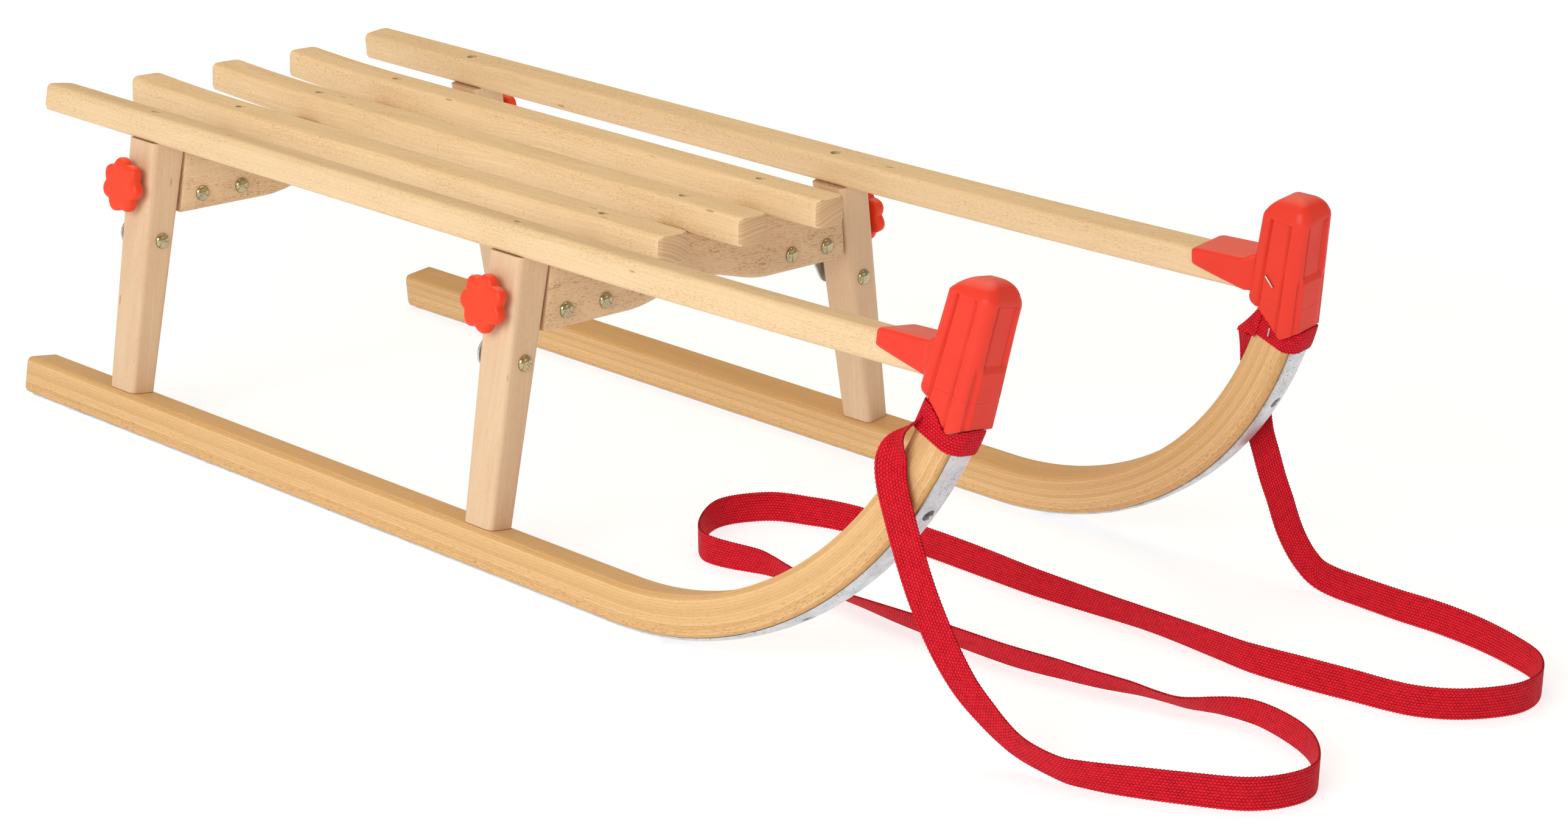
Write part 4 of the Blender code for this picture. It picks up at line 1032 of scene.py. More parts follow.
def make_caps():
    for side, tag in SIDES:
        tower = cap_tower(side)
        bottom = [sum(tower[0], Vector()) / len(tower[0])]
        top = [on_side(side, 833.8, 75.45, -8.6)]
        obj = make("cap_" + tag, skin([bottom] + tower + [top]), CAP_RED, None, "side_frame_" + tag, ["tip_cap_" + tag])
        cut(obj, [skin(cap_sleeve(side))], "UNION")
        tools = []
        rings = []
        for x in (740.0, 760.0, 780.0, RAIL_FRONT + 0.4):
            lift = rail_lift(x)
            ring = rounded(-RAIL_WIDE - 0.35, 0.35, -4.0, RAIL_TOP + lift + 0.35, 4.2, 4, 2, 2)
            rings.append([on_side(side, x, v, w) for w, v in ring])
        tools.append(skin([[on_side(side, 740.0, 10, -14)]] + rings + [[on_side(side, RAIL_FRONT + 0.4, 10, -14)]]))
        rings = []
        for s in spaced(run_of(64), PATH_END + 1.0, 6.0):
            x, v, t = path_at(s)
            nx, nv = -math.sin(t), math.cos(t)
            ring = rounded(RUNNER_IN - 0.4, RUNNER_OUT + 0.4, -0.4, thick_at(t) + 0.4, 3.2, 4, 2, 2)
            rings.append([on_side(side, x + nx * h, v + nv * h, w) for w, h in ring])
        tools.append(skin([[sum(rings[0], Vector()) / len(rings[0])]] + rings + [[sum(rings[-1], Vector()) / len(rings[-1])]]))
        tools.append(prism(list(MOUTH), -60, 60, lambda a, b, h, side=side: on_side(side, a, b, h)))
        cut(obj, tools)
        resharpen(obj, 38.0)


# -------------------------------------------------------------------- wood beams
def swing_slot(side, row):
    py = HALF_TOP - PIVOT_V * SIN + PIVOT_W * COS
    pz = PIVOT_V * COS + PIVOT_W * SIN

    def axis(w):
        return HALF_TOP - KNOB_V * SIN + w * COS, KNOB_V * COS + w * SIN

    y0, z0 = axis(STUD_END - 0.6)
    low = (SIN * 4.5, -COS * 4.5)
    out_y, out_z = axis(-24.0)
    outline = [(out_y + low[0], out_z + low[1]), (y0 + low[0], z0 + low[1])]
    tip = (y0 - low[0], z0 - low[1])
    radius = math.hypot(tip[0] - py, tip[1] - pz) + 0.3
    first = math.degrees(math.atan2(tip[1] - pz, tip[0] - py))
    last = math.degrees(math.acos((out_y - py) / radius))
    outline += arc(py, pz, radius, first, last, 5)
    return prism(outline, ROWS[row] - 4.6, ROWS[row] + 4.6, lambda a, b, h: on_seat(h, side * a, b))


def make_beams():
    def foot_at(y):
        if abs(y) >= BEAM_ARCH_HALF:
            return BEAM_FOOT
        return BEAM_FOOT + BEAM_ARCH / 2 * (1 + math.cos(math.pi * y / BEAM_ARCH_HALF))

    for k, (row, x0) in enumerate(ROWS.items()):

        def point(y, a, z, x0=x0):
            share = (BEAM_TOP - z) / (BEAM_TOP - BEAM_FOOT)
            half = BEAM_HALF_TOP + (BEAM_HALF_FOOT - BEAM_HALF_TOP) * share
            return on_seat(x0 + a, y / BEAM_HALF_TOP * half, z)

        end = BEAM_HALF_TOP
        stations = [(-end, 1.4), (-end + 0.3, 0.75), (-end + 0.8, 0.3), (-end + 1.6, 0.0)]
        stations += [(y, 0.0) for y in spaced(-end + 6, -BEAM_ARCH_HALF, 12) + spaced(-BEAM_ARCH_HALF, BEAM_ARCH_HALF, 4)[1:-1]]
        stations += [(y, 0.0) for y in spaced(BEAM_ARCH_HALF, end - 6, 12)]
        stations += [(end - 1.6, 0.0), (end - 0.8, 0.3), (end - 0.3, 0.75), (end, 1.4)]
        rings = []
        for y, inset in stations:
            low = foot_at(y * 1.02)
            ring = rounded(BEAM_REAR + inset, BEAM_FRONT - inset, low + inset, BEAM_TOP - inset, 2.2, 4, 5, 6)
            rings.append([point(y, a, z) for a, z in ring])
        mid = ((BEAM_REAR + BEAM_FRONT) / 2, (BEAM_FOOT + BEAM_TOP) / 2)
        rings = [[point(-end, *mid)]] + rings + [[point(end, *mid)]]
        obj = make("beam_" + row, skin(rings), [BEAM, PALE_END], None, "seat", ["crossbeam_" + row])
        tools = []
        for side in (-1, 1):
            tools.append(swing_slot(side, row))
            y, z = (HALF_TOP - KNOB_V * SIN + (INSERT_IN - 0.4) * COS), KNOB_V * COS + (INSERT_IN - 0.4) * SIN
            tools.append(cylinder((x0 - MIDDLE_X, side * y, z + FLOOR_DROP), (0, side * COS, SIN), 7.4, 26, 32))
        cut(obj, tools)
        resharpen(obj)
        grain(obj, lambda p: (off_seat(p)[1], off_seat(p)[0], off_seat(p)[2]), 41 + k)


# ------------------------------------------------------------- fasteners
def dome(head, height, steps=9):
    """Profile of a domed head, from its top to its rim."""
    out = [(0, height)]
    for k in range(1, steps + 1):
        a = math.radians(90 * k / (steps + 0.6))
        out.append((head * math.sin(a), height * math.cos(a)))
    out.append((head, 0.0))
    return out


def make_rivets():
    for side, tag in SIDES:
        for row, x0 in ROWS.items():
            where = row + "_" + tag
            f = PIVOT_V / LEG_FOOT_V
            front = x0 + LEG_HEAD[1] + (LEG_FOOT[1] - LEG_HEAD[1]) * f + GAP
            rear = LEG_HEAD[0] + (LEG_FOOT[0] - LEG_HEAD[0]) * f - GAP + x0
            shoulder, tail = x0 - 13.5 + GAP, x0 - 15.5 - GAP
            profile = [(r, front + h) for r, h in dome(6.0, 3.4)]
            profile += [(3.0, front), (3.0, rear), (5.5, rear), (5.5, shoulder), (3.0, shoulder)]
            profile += [(3.0, tail), (5.0, tail), (4.8, tail - 1.0), (4.2, tail - 1.6), (1.6, tail - 1.8), (1.2, tail - 1.0), (0, tail - 0.9)]
            rings = turned(profile, lambda p, q, h, side=side: on_side(side, h, PIVOT_V + p, PIVOT_W + q))
            make("rivet_pivot_" + where, skin(rings), YELLOW, 40.0, "side_frame_" + tag, ["pivot_rivet_" + where])
            for at, place_name in zip(BEAM_RIVETS, ("inner", "outer")):
                base = x0 + BEAM_FRONT + GAP
                reach = BEAM_FRONT - BEAM_REAR + GAP + 0.7 + 2.0 + GAP
                profile = [(r, base + h) for r, h in dome(6.0, 3.4)]
                profile += [(2.8, base), (2.8, base - reach), (4.4, base - reach), (4.2, base - reach - 1.0), (3.6, base - reach - 1.5), (1.4, base - reach - 1.6), (1.1, base - reach - 0.9), (0, base - reach - 0.8)]
                rings = turned(profile, lambda p, q, h, side=side, at=at: on_seat(h, side * at + q, RIVET_Z + p))
                name = place_name + "_" + where
                make("rivet_beam_" + name, skin(rings), YELLOW, 40.0, "seat", ["beam_rivet_" + name])


def make_wood_screws():
    def build(name, place, body, node):
        """Countersunk cross-head wood screw, its head up; place(p, q, h) with h upwards."""
        bm = cross_head(bmesh.new(), lambda p, q, h: place(p, q, -h), 3.5, 0.0, 0.9)
        length = 42.0 if node.startswith("slat") else 40.0
        rings = turned([(2.0, -2.9), (2.0, -length + 4), (1.2, -length + 1.5), (0, -length)], place, 16)
        skin([[place(0, 0, -2.9)]] + rings, bm=bm)
        make(name, bm, DARK, 40.0, body, [node])

    for y, tag in ((-SLAT_PITCH, "right"), (0.0, "middle"), (SLAT_PITCH, "left")):
        for row, x0 in ROWS.items():
            build(
                "screw_slat_" + tag + "_" + row,
                lambda p, q, h, x0=x0, y=y: on_seat(x0 + p, y + q, SLAT_TOP - 3.6 + h),
                "seat",
                "slat_screw_" + tag + "_" + row,
            )
    for side, tag in SIDES:
        for row, x0 in ROWS.items():
            build(
                "screw_rail_" + row + "_" + tag,
                lambda p, q, h, side=side, x0=x0: on_side(side, x0 + p, RAIL_TOP - 3.6 + h, SCREW_W + q),
                "side_frame_" + tag,
                "rail_screw_" + row + "_" + tag,
            )


# ------------------------------------------------------------------ knobs
def make_knobs():
    count = 168
    for side, tag in SIDES:
        for row, x0 in ROWS.items():
            where = row + "_" + tag

            def place(p, q, h, side=side, x0=x0):
                return on_side(side, x0 + p, KNOB_V + q, h)

            turn = 0.49 if row == "front" else -0.1

            def ring(radius, h, lobes=0.0):
                pts = []
                for k in range(count):
                    a = 2 * math.pi * k / count
                    # broad round lobes with narrow shallow hollows between them
                    wave = 2 * ((1 + math.cos(7 * a)) / 2 + 1e-9) ** 0.6 - 1
                    r = radius + lobes * wave
                    pts.append(place(r * math.cos(a + turn), r * math.sin(a + turn), h))
                return pts

            levels = [
                (3.1, STUD_END, 0),
                (3.8, STUD_END + 0.9, 0),
                (3.8, 3.0, 0),
                (9.6, 3.0, 0),
                (10.0, 3.3, 0),
                (10.4, 6.2, 0),
                (11.2, 6.7, 0.2),
                (16.6, 6.9, 1.4),
                (18.2, 7.3, 1.7),
                (19.0, 8.1, 1.85),
                (19.35, 9.4, 1.9),
                (19.35, 12.4, 1.9),
                (19.15, 13.6, 1.9),
                (18.6, 14.7, 1.85),
                (17.6, 15.45, 1.75),
                (16.2, 15.85, 1.6),
                (13.4, 15.9, 1.2),
                (8.0, 15.9, 0.5),
                (4.0, 15.9, 0.0),
            ]
            rings = [[place(0, 0, STUD_END)]] + [ring(r, h, lobe) for r, h, lobe in levels] + [[place(0, 0, 15.9)]]
            obj = make("knob_" + where + "_moulding", skin(rings), [KNOB_RED, STEEL], 42.0, "knob_" + where, ["star_knob_" + where])
            for poly in obj.data.polygons:
                x, v, w = off_side(side, poly.center)
                if w < 2.9:
                    poly.material_index = 1
            profile = [(4.4, 1.35), (4.6, 1.15), (8.2, 1.15), (8.5, 1.4), (8.5, 2.4), (8.2, 2.65), (4.6, 2.65), (4.4, 2.45)]
            make("washer_" + where, skin(turned(profile, place), closed=True), YELLOW, 50.0, "knob_travel_" + where, ["knob_washer_" + where])


# ---------------------------------------------------------------- webbing
def flat_uv(obj, coords):
    """UV map from one (u, v) in mm per vertex, stored as mm / 100; the ring seam is handled by per-corner values."""
    layer = obj.data.uv_layers.new(name="UVMap")
    for poly in obj.data.polygons:
        for li in poly.loop_indices:
            u, v = coords[obj.data.loops[li].vertex_index]
            layer.data[li].uv = (u / 100.0, v / 100.0)


def ribbon_mesh(points, acrosses, thick, u0=0.0, edge_phase=0.0, width=STRAP_WIDE, scallop=0.6, close_ends=True):
    """A woven ribbon: returns rings of world points (metres) and per-vertex (u, v) in mm.

    points in mm (world), acrosses the unit width directions. The edges are scalloped."""
    rings, coords = [], []
    run = u0
    for i, p in enumerate(points):
        if i:
            run += (points[i] - points[i - 1]).length
        a, b = points[max(i - 1, 0)], points[min(i + 1, len(points) - 1)]
        along = (b - a).normalized()
        across = (acrosses[i] - along * acrosses[i].dot(along)).normalized()
        normal = across.cross(along).normalized()
        edge = scallop * (0.5 + 0.5 * math.cos(2 * math.pi * (run + edge_phase) / 2.4))
        half = width / 2 - edge
        t = thick / 2
        ring, uv = [], []
        lanes = (-1.0, -0.985, -0.93, -0.8, -0.5, 0.0, 0.5, 0.8, 0.93, 0.985, 1.0)
        swell = (0.25, 0.62, 0.92, 1.0, 1.0, 1.0, 1.0, 1.0, 0.92, 0.62, 0.25)
        for lane, s in zip(lanes, swell):
            ring.append((p + across * half * lane + normal * t * s) * MM)
            uv.append((run, (10 + 10 * lane) * 1.1))
        for lane, s in zip(reversed(lanes), reversed(swell)):
            ring.append((p + across * half * lane - normal * t * s) * MM)
            uv.append((run, (10 + 10 * lane) * 1.1))
        rings.append(ring)
        coords += uv
    if close_ends:
        c0, c1 = points[0] * MM, points[-1] * MM
        return [[c0]] + rings + [[c1]], [(u0, 10.0)] + coords + [(run, 10.0)]
    return rings, coords


def web_piece(name, parts, body, stands_for=()):
    """One object from several ribbons, each (rings, uv)."""
    bm = bmesh.new()
    coords = []
    for rings, uv in parts:
        skin(rings, bm=bm)
        coords += uv
    bm.verts.index_update()
    obj = make(name, bm, WEB, 60.0, body, stands_for)
    flat_uv(obj, coords)
    return obj


NEAR_HANG = [
    (803.2, -174.8, -18.5),
    (801.4, -185.4, -22.0),
    (797.2, -191.2, -28.3),
    (793.4, -194.8, -38.0),
    (792.2, -197.0, -50.0),
    (796.5, -199.3, -63.0),
    (805.4, -201.2, -81.0),
    (816.9, -202.2, -104.4),
    (828.1, -202.4, -125.4),
    (840.6, -202.0, -145.3),
    (852.4, -201.0, -161.9),
    (865.2, -199.5, -176.7),
    (878.3, -196.5, -189.0),
    (892.5, -193.0, -200.5),
    (908.0, -189.5, -208.5),
]
# where the lower edge touches the floor, and how far the strap leans there towards the sled's front right, in degrees
ON_FLOOR = [
    (934, -180, 26),
    (956, -175, 16),
    (980, -164, 8),
    (1008, -148, 4),
    (1034, -130, 0),
    (1048, -104, -2),
    (1046, -76, 0),
    (1022, -45, 4),
    (994, -27, 11),
    (958, -17, 21),
    (929, -19, 42),
    (906, -25, 58),
    (875, -33, 48),
    (849, -43, 40),
    (821, -50, 34),
    (787, -57, 31),
    (735, -58, 33),
    (679, -56, 42),
    (626, -50, 54),
    (585, -54, 36),
    (557, -57, 20),
    (533, -66, 12),
    (509, -69, 8),
    (487, -54, 0),
    (468, -24, 0),
    (465, 0, 2),
    (479, 28, 0),
    (503, 42, 3),
    (535, 53, 3),
    (595, 58, 2),
    (653, 57, 2),
    (709, 56, 10),
    (765, 60, 20),
    (798, 63, 25),
    (834, 61, 21),
    (871, 57, 14),
    (897, 55, 10),
    (936, 58, -1),
    (975, 65, 1),
    (1012, 73, 5),
    (1039, 93, 4),
    (1057, 127, 2),
    (1055, 158, 0),
    (1038, 184, 4),
    (1012, 197, 0),
    (974, 207, -5),
    (937, 211, -7),
    (907, 211, -3),
]
FAR_HANG = [
    (868.0, 213.5, -213.2),
    (838.2, 215.0, -211.5),
    (824.6, 214.5, -204.5),
    (814.5, 213.0, -193.1),
    (806.9, 211.5, -179.8),
    (800.0, 210.0, -163.1),
    (793.7, 208.0, -148.0),
    (787.0, 206.0, -129.0),
    (782.3, 204.0, -114.3),
    (780.6, 201.5, -99.0),
    (780.1, 198.0, -84.0),
    (781.1, 193.0, -68.0),
    (785.7, 184.0, -51.5),
    (791.0, 173.5, -38.0),]

def strap_route():
    """The strap's centre line in mm (world), every 2 mm or so, and its width direction at each point."""
    front = Vector((0.68, -0.73, 0.0))
    pts = [(*p, math.radians(max(0.0, 28.0 - 6.0 * (len(NEAR_HANG) - 1 - i)))) for i, p in enumerate(NEAR_HANG)]
    for i, (x, y, lean) in enumerate(ON_FLOOR):
        (xa, ya), (xb, yb) = ON_FLOOR[max(i - 1, 0)][:2], ON_FLOOR[min(i + 1, len(ON_FLOOR) - 1)][:2]
        flat = Vector((yb - ya, xa - xb, 0.0)).normalized()
        if flat.dot(front) < 0:
            flat = -flat
        tilt, half = math.radians(lean), STRAP_WIDE / 2
        pts.append((x + flat.x * half * math.sin(tilt), y + flat.y * half * math.sin(tilt), 0.4 - FLOOR_DROP + half * math.cos(tilt) + 0.85 * abs(math.sin(tilt)), tilt))
    pts = [Vector(p) for p in pts + [(*p, 0.0) for p in FAR_HANG]]
    line = []
    for i in range(len(pts) - 1):
        p1, p2 = pts[i], pts[i + 1]
        p0 = pts[i - 1] if i else 2 * p1 - p2
        p3 = pts[i + 2] if i + 2 < len(pts) else 2 * p2 - p1
        pieces = max(2, round((p2 - p1).length / 18))
        for k in range(pieces):
            t = k / pieces
            line.append(0.5 * (2 * p1 + (p2 - p0) * t + (2 * p0 - 5 * p1 + 4 * p2 - p3) * t * t + (3 * p1 - p0 - 3 * p2 + p3) * t**3))
    line.append(pts[-1])
    line = [Vector((p.x, p.y, max(p.z, 0.35 - FLOOR_DROP + STRAP_WIDE / 2 * math.cos(p.w) + 0.85 * abs(math.sin(p.w))), p.w)) for p in line]
    # finer points on the same curve
    fine = []
    for i in range(len(line) - 1):
        p1, p2 = line[i], line[i + 1]
        p0 = line[i - 1] if i else 2 * p1 - p2
        p3 = line[i + 2] if i + 2 < len(line) else 2 * p2 - p1
        pieces = max(1, round((p2 - p1).length / 0.8))
        for k in range(pieces):
            t = k / pieces
            fine.append(0.5 * (2 * p1 + (p2 - p0) * t + (2 * p0 - 5 * p1 + 4 * p2 - p3) * t * t + (3 * p1 - p0 - 3 * p2 + p3) * t**3))
    fine.append(line[-1])
    world = [Vector((p.x - MIDDLE_X, p.y, p.z + FLOOR_DROP)) for p in fine]
    tilts = [p.w for p in fine]
    normals = []
    for i, p in enumerate(world):
        a, b = world[max(i - 3, 0)], world[min(i + 3, len(world) - 1)]
        along = (b - a).normalized()
        flat = Vector((along.y, -along.x, 0))
        if flat.length < 1e-3:
            flat = Vector((0, 1, 0))
        flat.normalize()
        # face towards the sled's outside and front in the hanging stretches
        if p.y < 0 and i < len(world) / 2:
            hang = Vector((0.26, -0.966, 0.0))
        else:
            hang = Vector((-0.10, 0.995, 0.0))
        rise = min(1.0, max(0.0, (p.z - 13.0) / 30.0))
        rise = rise * rise * (3 - 2 * rise)
        if flat.dot(hang) < 0:
            flat = -flat if rise > 0 else flat
        normals.append((flat, hang.normalized(), rise, along))
    # keep the sideways direction continuous along the floor
    out = []
    last = None
    for (flat, hang, rise, along), tilt in zip(normals, tilts):
        if last is not None and rise == 0 and flat.dot(last) < 0:
            flat = -flat
        if last is not None and rise > 0 and hang.dot(last) < -0.2:
            hang = -hang
            if flat.dot(hang) < 0:
                flat = -flat
        n = (flat * (1 - rise) + hang * rise).normalized()
        last = n
        wide = -along.cross(n).normalized()
        if abs(tilt) > 1e-4:
            sideways = flat if flat.dot(front) > 0 else -flat
            up = wide if wide.z > 0 else -wide
            turned_to = up * math.cos(tilt) + sideways * math.sin(tilt)
            wide = turned_to if wide.z > 0 else -turned_to
        out.append(wide)
    # webbing turns gradually: even the directions out over some 50 mm
    out = [sum(out[max(i - 32, 0) : i + 33], Vector()).normalized() for i in range(len(out))]
    # the near end leaves the winding with its width along the runner's tip
    run = 0.0
    tip = Vector((math.cos(math.radians(70.6)), 0.12, 0.935)).normalized()
    slant = Vector((0.63, -0.72, 0.29))
    for i in range(1, len(world) // 3):
        run += (world[i] - world[i - 1]).length
        if run > 46.0:
            break
        b = min(1.0, run / 11.0)
        c = min(1.0, max(0.0, (run - 15.0) / 30.0))
        c = c * c * (3 - 2 * c)
        out[i] = ((tip * (1 - b) + slant * b) * (1 - c) + out[i] * c).normalized()
    out[0] = tip
    return world, out


def make_straps():
    world, across = strap_route()
    run = [0.0]
    for p, q in zip(world, world[1:]):
        run.append(run[-1] + (q - p).length)
    half = next(i for i, s in enumerate(run) if s > run[-1] / 2)
    thick = 1.7
    parts = {"right": (0, half), "left": (half, len(world) - 1)}
    for tag, (a, b) in parts.items():
        pts, acr = world[a : b + 1], across[a : b + 1]
        piece = web_piece("strap_" + tag, [ribbon_mesh(pts, acr, thick, run[a])], None)
        cadnodes = ["pull_strap_" + tag] + (["pull_strap_middle"] if tag == "right" else [])
        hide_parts(*cadnodes)
        path = [tuple(p * MM) for p in pts[::6]] + [tuple(pts[-1] * MM)]
        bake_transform(piece)
    return run[-1]


def mouth_at(x):
    """Height v of the cap's slanted mouth at x."""
    line = list(MOUTH[1:9])
    for (x1, v1), (x0, v0) in zip(line, line[1:]):
        if x0 <= x <= x1:
            return v0 + (v1 - v0) * (x - x0) / (x1 - x0)
    return line[0][1] if x > line[0][0] else line[-1][1]


def wrap_turn(side, lift, low_deg, coarse, phase):
    """One turn of webbing round the tip; its upper edge is tucked under the cap's mouth."""
    section = []
    for w, h in rounded(RUNNER_IN - lift + 0.4, RUNNER_OUT + lift, -lift, RUNNER_THICK + 2.0 + lift, 4.8 + lift, 8, 40, 28):
        # over the steel the band bulges forwards
        bulge = min(1.0, max(0.0, (14.0 - abs(w + 6.8)) / 9.0))
        if h < 4.0:
            h -= 2.3 * bulge * bulge * (3 - 2 * bulge)
        section.append((w, h))
    n = len(section)
    # the ends meet on the rear face
    start = max(range(n), key=lambda k: section[k][1] * 10 - abs(section[k][0] + 7))
    section = [section[(start + k) % n] for k in range(n)]
    lanes = (0.0, 0.03, 0.1, 0.25, 0.5, 0.75, 0.9, 0.97, 1.0)
    swell = (0.3, 0.75, 0.95, 1.0, 1.0, 1.0, 0.95, 0.75, 0.3)
    rings, coords = [], []
    run = 0.0
    for k in range(n):
        w, h = section[k]
        if k:
            run += math.hypot(w - section[k - 1][0], h - section[k - 1][1])
        (wa, ha), (wb, hb) = section[max(k - 1, 0)], section[min(k + 1, n - 1)]
        size = math.hypot(wb - wa, hb - ha)
        nw, nh = (hb - ha) / size, -(wb - wa) / size
        if nw * (w + 6.8) + nh * (h - 14.0) < 0:
            nw, nh = -nw, -nh
        low = math.radians(low_deg)
        edge = 0.4 * (0.5 + 0.5 * math.cos(2 * math.pi * (run + phase) / 2.4))
        reach = BEND_R - h
        low += edge / reach
        high = low + (WRAP_WIDE - edge) / reach

        def clear(t):
            x, v = RUNNER_BEND + reach * math.sin(t), RUNNER_UNDER + BEND_R - reach * math.cos(t)
            return v < mouth_at(x) - 0.7

        while not clear(high) and high > low + 0.01:
            high -= 0.0008
        ring, uv = [], []
        for face in (1, -1):
            order = list(zip(lanes, swell))
            for lane, thick in order if face > 0 else reversed(order):
                t = low + (high - low) * lane
                out = 0.68 * thick * face
                reach_t = BEND_R - (h + nh * out)
                x = RUNNER_BEND + reach_t * math.sin(t)
                v = RUNNER_UNDER + BEND_R - reach_t * math.cos(t)
                ring.append(on_side(side, x, v, w + nw * out))
                uv.append((run * coarse, (t - math.radians(low_deg)) * reach * coarse))
        rings.append(ring)
        coords += uv
    first, last = sum(rings[0], Vector()) / len(rings[0]), sum(rings[-1], Vector()) / len(rings[-1])
    return [[first]] + rings + [[last]], [(0.0, 7.0)] + coords + [(run * coarse, 7.0)]


def make_wraps():
    """Webbing wound round each tip below the cap, in two turns, with the fold of the far one."""
    coarse = 1.0
    for side, tag in SIDES:
        parts = [wrap_turn(side, 0.95, 69.2, coarse, 0.0), wrap_turn(side, 2.35, 68.8, coarse, 0.8)]
        web_piece("wrap_" + tag, parts, "side_frame_" + tag, ["strap_wrap_" + tag])
    web_piece("wrap_fold", [wrap_fold(1, coarse)], "side_frame_left")


def wrap_fold(side, coarse):
    """The last turn runs past the runner's rear corner and folds down on a slant."""
    low, high = math.radians(68.5), math.radians(73.4)
    rings, coords = [], []
    for k in range(17):
        h = 25.0 + 15.5 * k / 16
        q = min(1.0, max(0.0, (h - 29.0) / 11.5))
        under, over = -0.24 * q**1.3, 1.0 - 1.10 * q**0.9
        ring = []
        for front in (0, 1):
            order = range(9) if front == 0 else reversed(range(9))
            for i in order:
                share = under + (over - under) * i / 8
                t = low + (high - low) * share
                x, v = RUNNER_BEND + (BEND_R - h) * math.sin(t), RUNNER_UNDER + BEND_R - (BEND_R - h) * math.cos(t)
                w = -24.9 + 1.5 * front + 0.05 * max(0.0, h - 29.0) ** 1.5
                ring.append(on_side(side, x, v, w))
                coords.append((h * coarse, 20 * coarse * share))
        rings.append(ring)
    first = sum(rings[0], Vector()) / len(rings[0])
    last = sum(rings[-1], Vector()) / len(rings[-1])
    return [[first]] + rings + [[last]], [(25 * coarse, 10.0)] + coords + [(40.5 * coarse, 8.0)]


def staple(side, a, b, lift, body, name):
    """A flattened wire staple seen from its crown; a and b are its ends as (x, v) on the inner face at w = lift."""
    rings = []
    ends = [Vector((a[0], a[1])), Vector((b[0], b[1]))]
    along = (ends[1] - ends[0]).normalized()
    cross = Vector((-along.y, along.x))
    for d, sink in ((0.0, 1.6), (0.0, 0.5), (0.25, 0.1), (0.7, 0.0)):
        rings.append((ends[0] + along * d, sink))
    length = (ends[1] - ends[0]).length
    for d, sink in ((0.7, 0.0), (0.25, 0.1), (0.0, 0.5), (0.0, 1.6)):
        rings.append((ends[0] + along * (length - d), sink))
    out = []
    for p, sink in rings:
        ring = []
        for k in range(10):
            t = 2 * math.pi * k / 10
            q = p + cross * 0.62 * math.cos(t)
            ring.append(on_side(side, q.x, q.y, lift + sink - 0.32 * math.sin(t)))
        out.append(ring)
    first, last = sum(out[0], Vector()) / 10, sum(out[-1], Vector()) / 10
    make(name, skin([[first]] + out + [[last]]), STAPLE, 60.0, body)


def make_staples():
    staple(1, (818.0, 19.9), (824.3, 12.4), -28.1, "side_frame_left", "staple_cap")
    staple(1, (819.0, -19.0), (817.3, -25.8), -24.4, "side_frame_left", "staple_wrap")


# ------------------------------------------------------------ carried over
def dress_nodes():
    for side, tag in SIDES:
        for row in ROWS:
            where = row + "_" + tag
            for node in ("hinge_plate_" + where, "stud_insert_" + where):
                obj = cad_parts[node]
                for slot in obj.material_slots:
                    slot.material = STEEL
                if not obj.material_slots:
                    obj.data.materials.append(STEEL)
                mod = obj.modifiers.new("ease", "BEVEL")
                mod.width = 0.0003
                mod.segments = 2
                mod.limit_method = "ANGLE"
                mod.angle_limit = math.radians(50)


# ------------------------------------------------------------------ stage
def make_stage():
    bm = bmesh.new()
    rings = []
    half = 9.0
    profile = [(-9.0, 0.0), (6.0, 0.0)]
    for x, z in profile:
        rings.append([bm.verts.new((x, -half, z)), bm.verts.new((x, half, z))])
    for low, high in zip(rings, rings[1:]):
        bm.faces.new((low[0], high[0], high[1], low[1]))
    mesh = bpy.data.meshes.new("floor")
    bm.to_mesh(mesh)
    bm.free()
    m = Nodes("floor_paper")
    co = m.new("ShaderNodeTexCoord").outputs["Object"]
    tone = m.noise(co, 3.0, 2.0)
    m.link(m.mix(m.range(tone, 0.3, 0.7, 0.0, 0.5), (0.39, 0.41, 0.45), (0.38, 0.40, 0.44)), m.shader.inputs["Base Color"])
    m.shader.inputs["Emission Color"].default_value = (1.0, 1.0, 1.0, 1.0)
    away = m.new("ShaderNodeVectorMath", operation="LENGTH")
    m.link(co, away.inputs[0])
    m.link(m.range(away.outputs["Value"], 0.9, 2.4, 0.72, 1.0), m.shader.inputs["Emission Strength"])
    m.shader.inputs["Roughness"].default_value = 0.9
    m.shader.inputs["Specular IOR Level"].default_value = 0.1
    mesh.materials.append(m.mat)
    floor = bpy.data.objects.new("floor", mesh)
    bpy.context.scene.collection.objects.link(floor)


def area(name, location, target, size, energy, colour=(1, 1, 1)):
    light = bpy.data.lights.new(name, "AREA")
    light.shape = "RECTANGLE"
    light.size, light.size_y = size
    light.energy = energy
    light.color = colour
    obj = bpy.data.objects.new(name, light)
    obj.location = location
    obj.rotation_mode = "QUATERNION"
    obj.rotation_quaternion = (Vector(target) - Vector(location)).to_track_quat("-Z", "Y")
    bpy.context.scene.collection.objects.link(obj)
    return obj


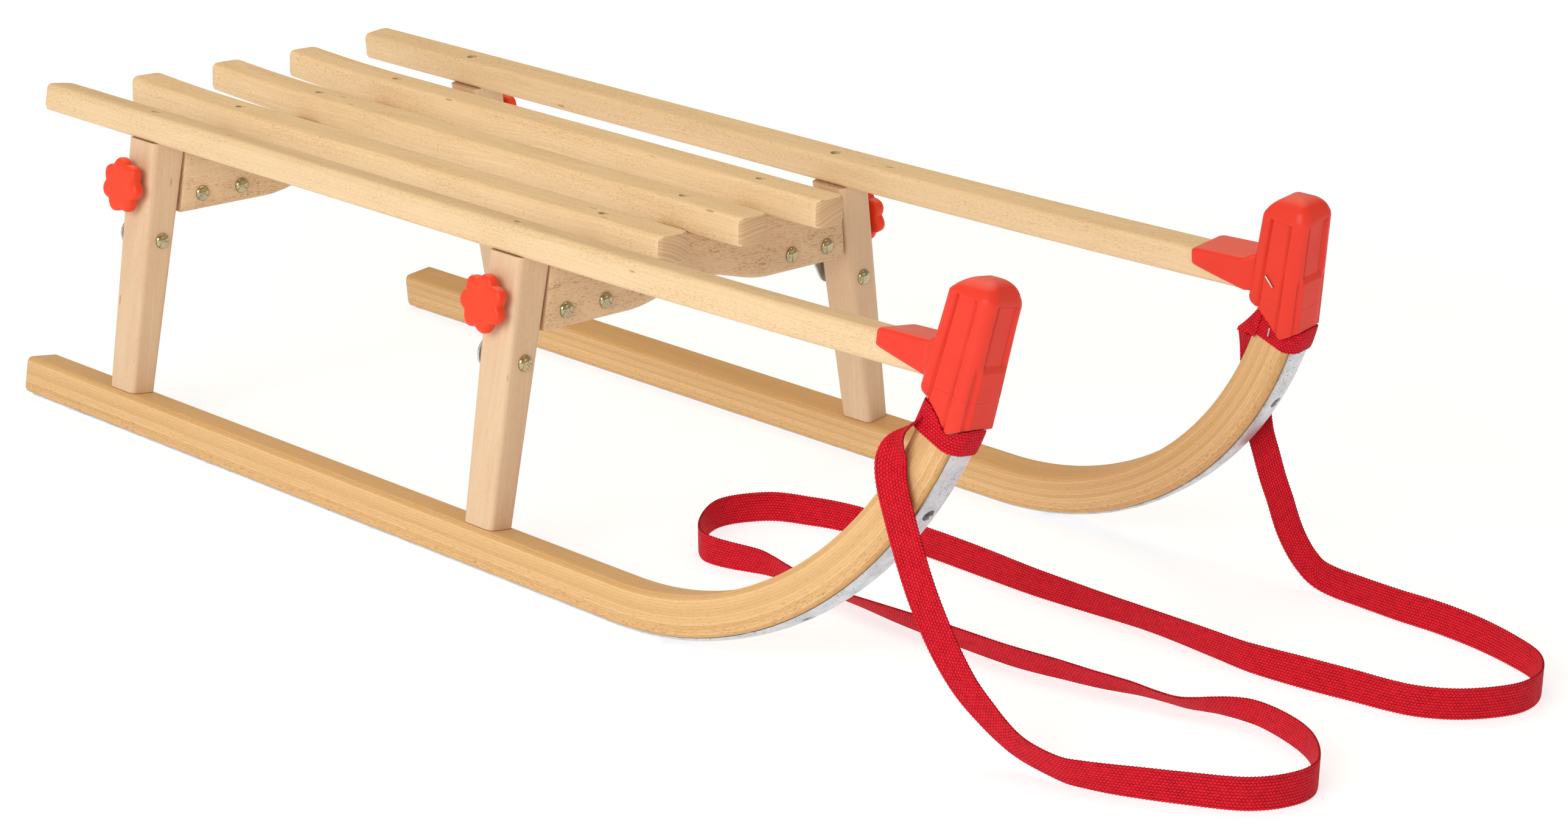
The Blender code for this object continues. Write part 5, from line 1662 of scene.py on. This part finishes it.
def make_lights():
    world = bpy.data.worlds.new("studio")
    bpy.context.scene.world = world
    world.use_nodes = True
    tree = world.node_tree
    back = tree.nodes["Background"]
    # a room: lighter and cooler round the horizon, dimmer and warmer above
    where = tree.nodes.new("ShaderNodeTexCoord")
    part = tree.nodes.new("ShaderNodeSeparateXYZ")
    tree.links.new(where.outputs["Generated"], part.inputs[0])
    ramp = tree.nodes.new("ShaderNodeValToRGB")
    tree.links.new(part.outputs["Z"], ramp.inputs[0])
    stops = ramp.color_ramp.elements
    stops[0].position, stops[0].color = 0.0, (0.54, 0.50, 0.43, 1)
    stops[1].position, stops[1].color = 0.85, (0.36, 0.29, 0.22, 1)
    tree.links.new(ramp.outputs[0], back.inputs[0])
    back.inputs[1].default_value = 1.0
    area("key", (0.9, -3.0, 1.5), (0, 0, 0.15), (2.2, 1.5), 66.0, (1.0, 0.99, 0.98))
    area("top", (-0.5, 0.2, 2.6), (0, 0, 0.1), (2.4, 2.0), 27.0, (1.0, 0.89, 0.68))
    area("front", (3.0, 0.9, 1.5), (0, 0, 0.15), (1.6, 1.2), 4.0, (1.0, 0.92, 0.82))
    bpy.context.scene.view_settings.view_transform = "Standard"
    bpy.context.scene.view_settings.look = "None"
    bpy.context.scene.view_settings.exposure = 0.0


def make_camera():
    az, el, roll = (math.radians(a) for a in (42.70, 18.03, 2.28))
    d = Vector((math.cos(el) * math.sin(az), -math.cos(el) * math.cos(az), math.sin(el)))
    right = (-d).cross(Vector((0, 0, 1))).normalized()
    up = right.cross(-d)
    r = math.cos(roll) * right + math.sin(roll) * up
    u = -math.sin(roll) * right + math.cos(roll) * up
    data = bpy.data.cameras.new("camera")
    data.lens, data.sensor_width = 86.52, 36.0
    data.shift_x, data.shift_y = -0.0208, 0.0044
    data.clip_start, data.clip_end = 0.05, 60.0
    cam = bpy.data.objects.new("camera", data)
    x, y, z = 1.901202, -1.861768, 0.921259
    cam.matrix_world = Matrix(((r.x, u.x, d.x, x), (r.y, u.y, d.y, y), (r.z, u.z, d.z, z), (0, 0, 0, 1)))
    bpy.context.scene.collection.objects.link(cam)
    bpy.context.scene.camera = cam


make_camera()
strap_length = make_straps()
make_slats()
make_rails()
make_legs()
make_runners()
make_strips()
make_caps()
make_beams()
make_rivets()
make_wood_screws()
make_knobs()
make_wraps()
make_staples()
dress_nodes()
make_stage()
make_lights()

print("strap length", round(strap_length, 1))
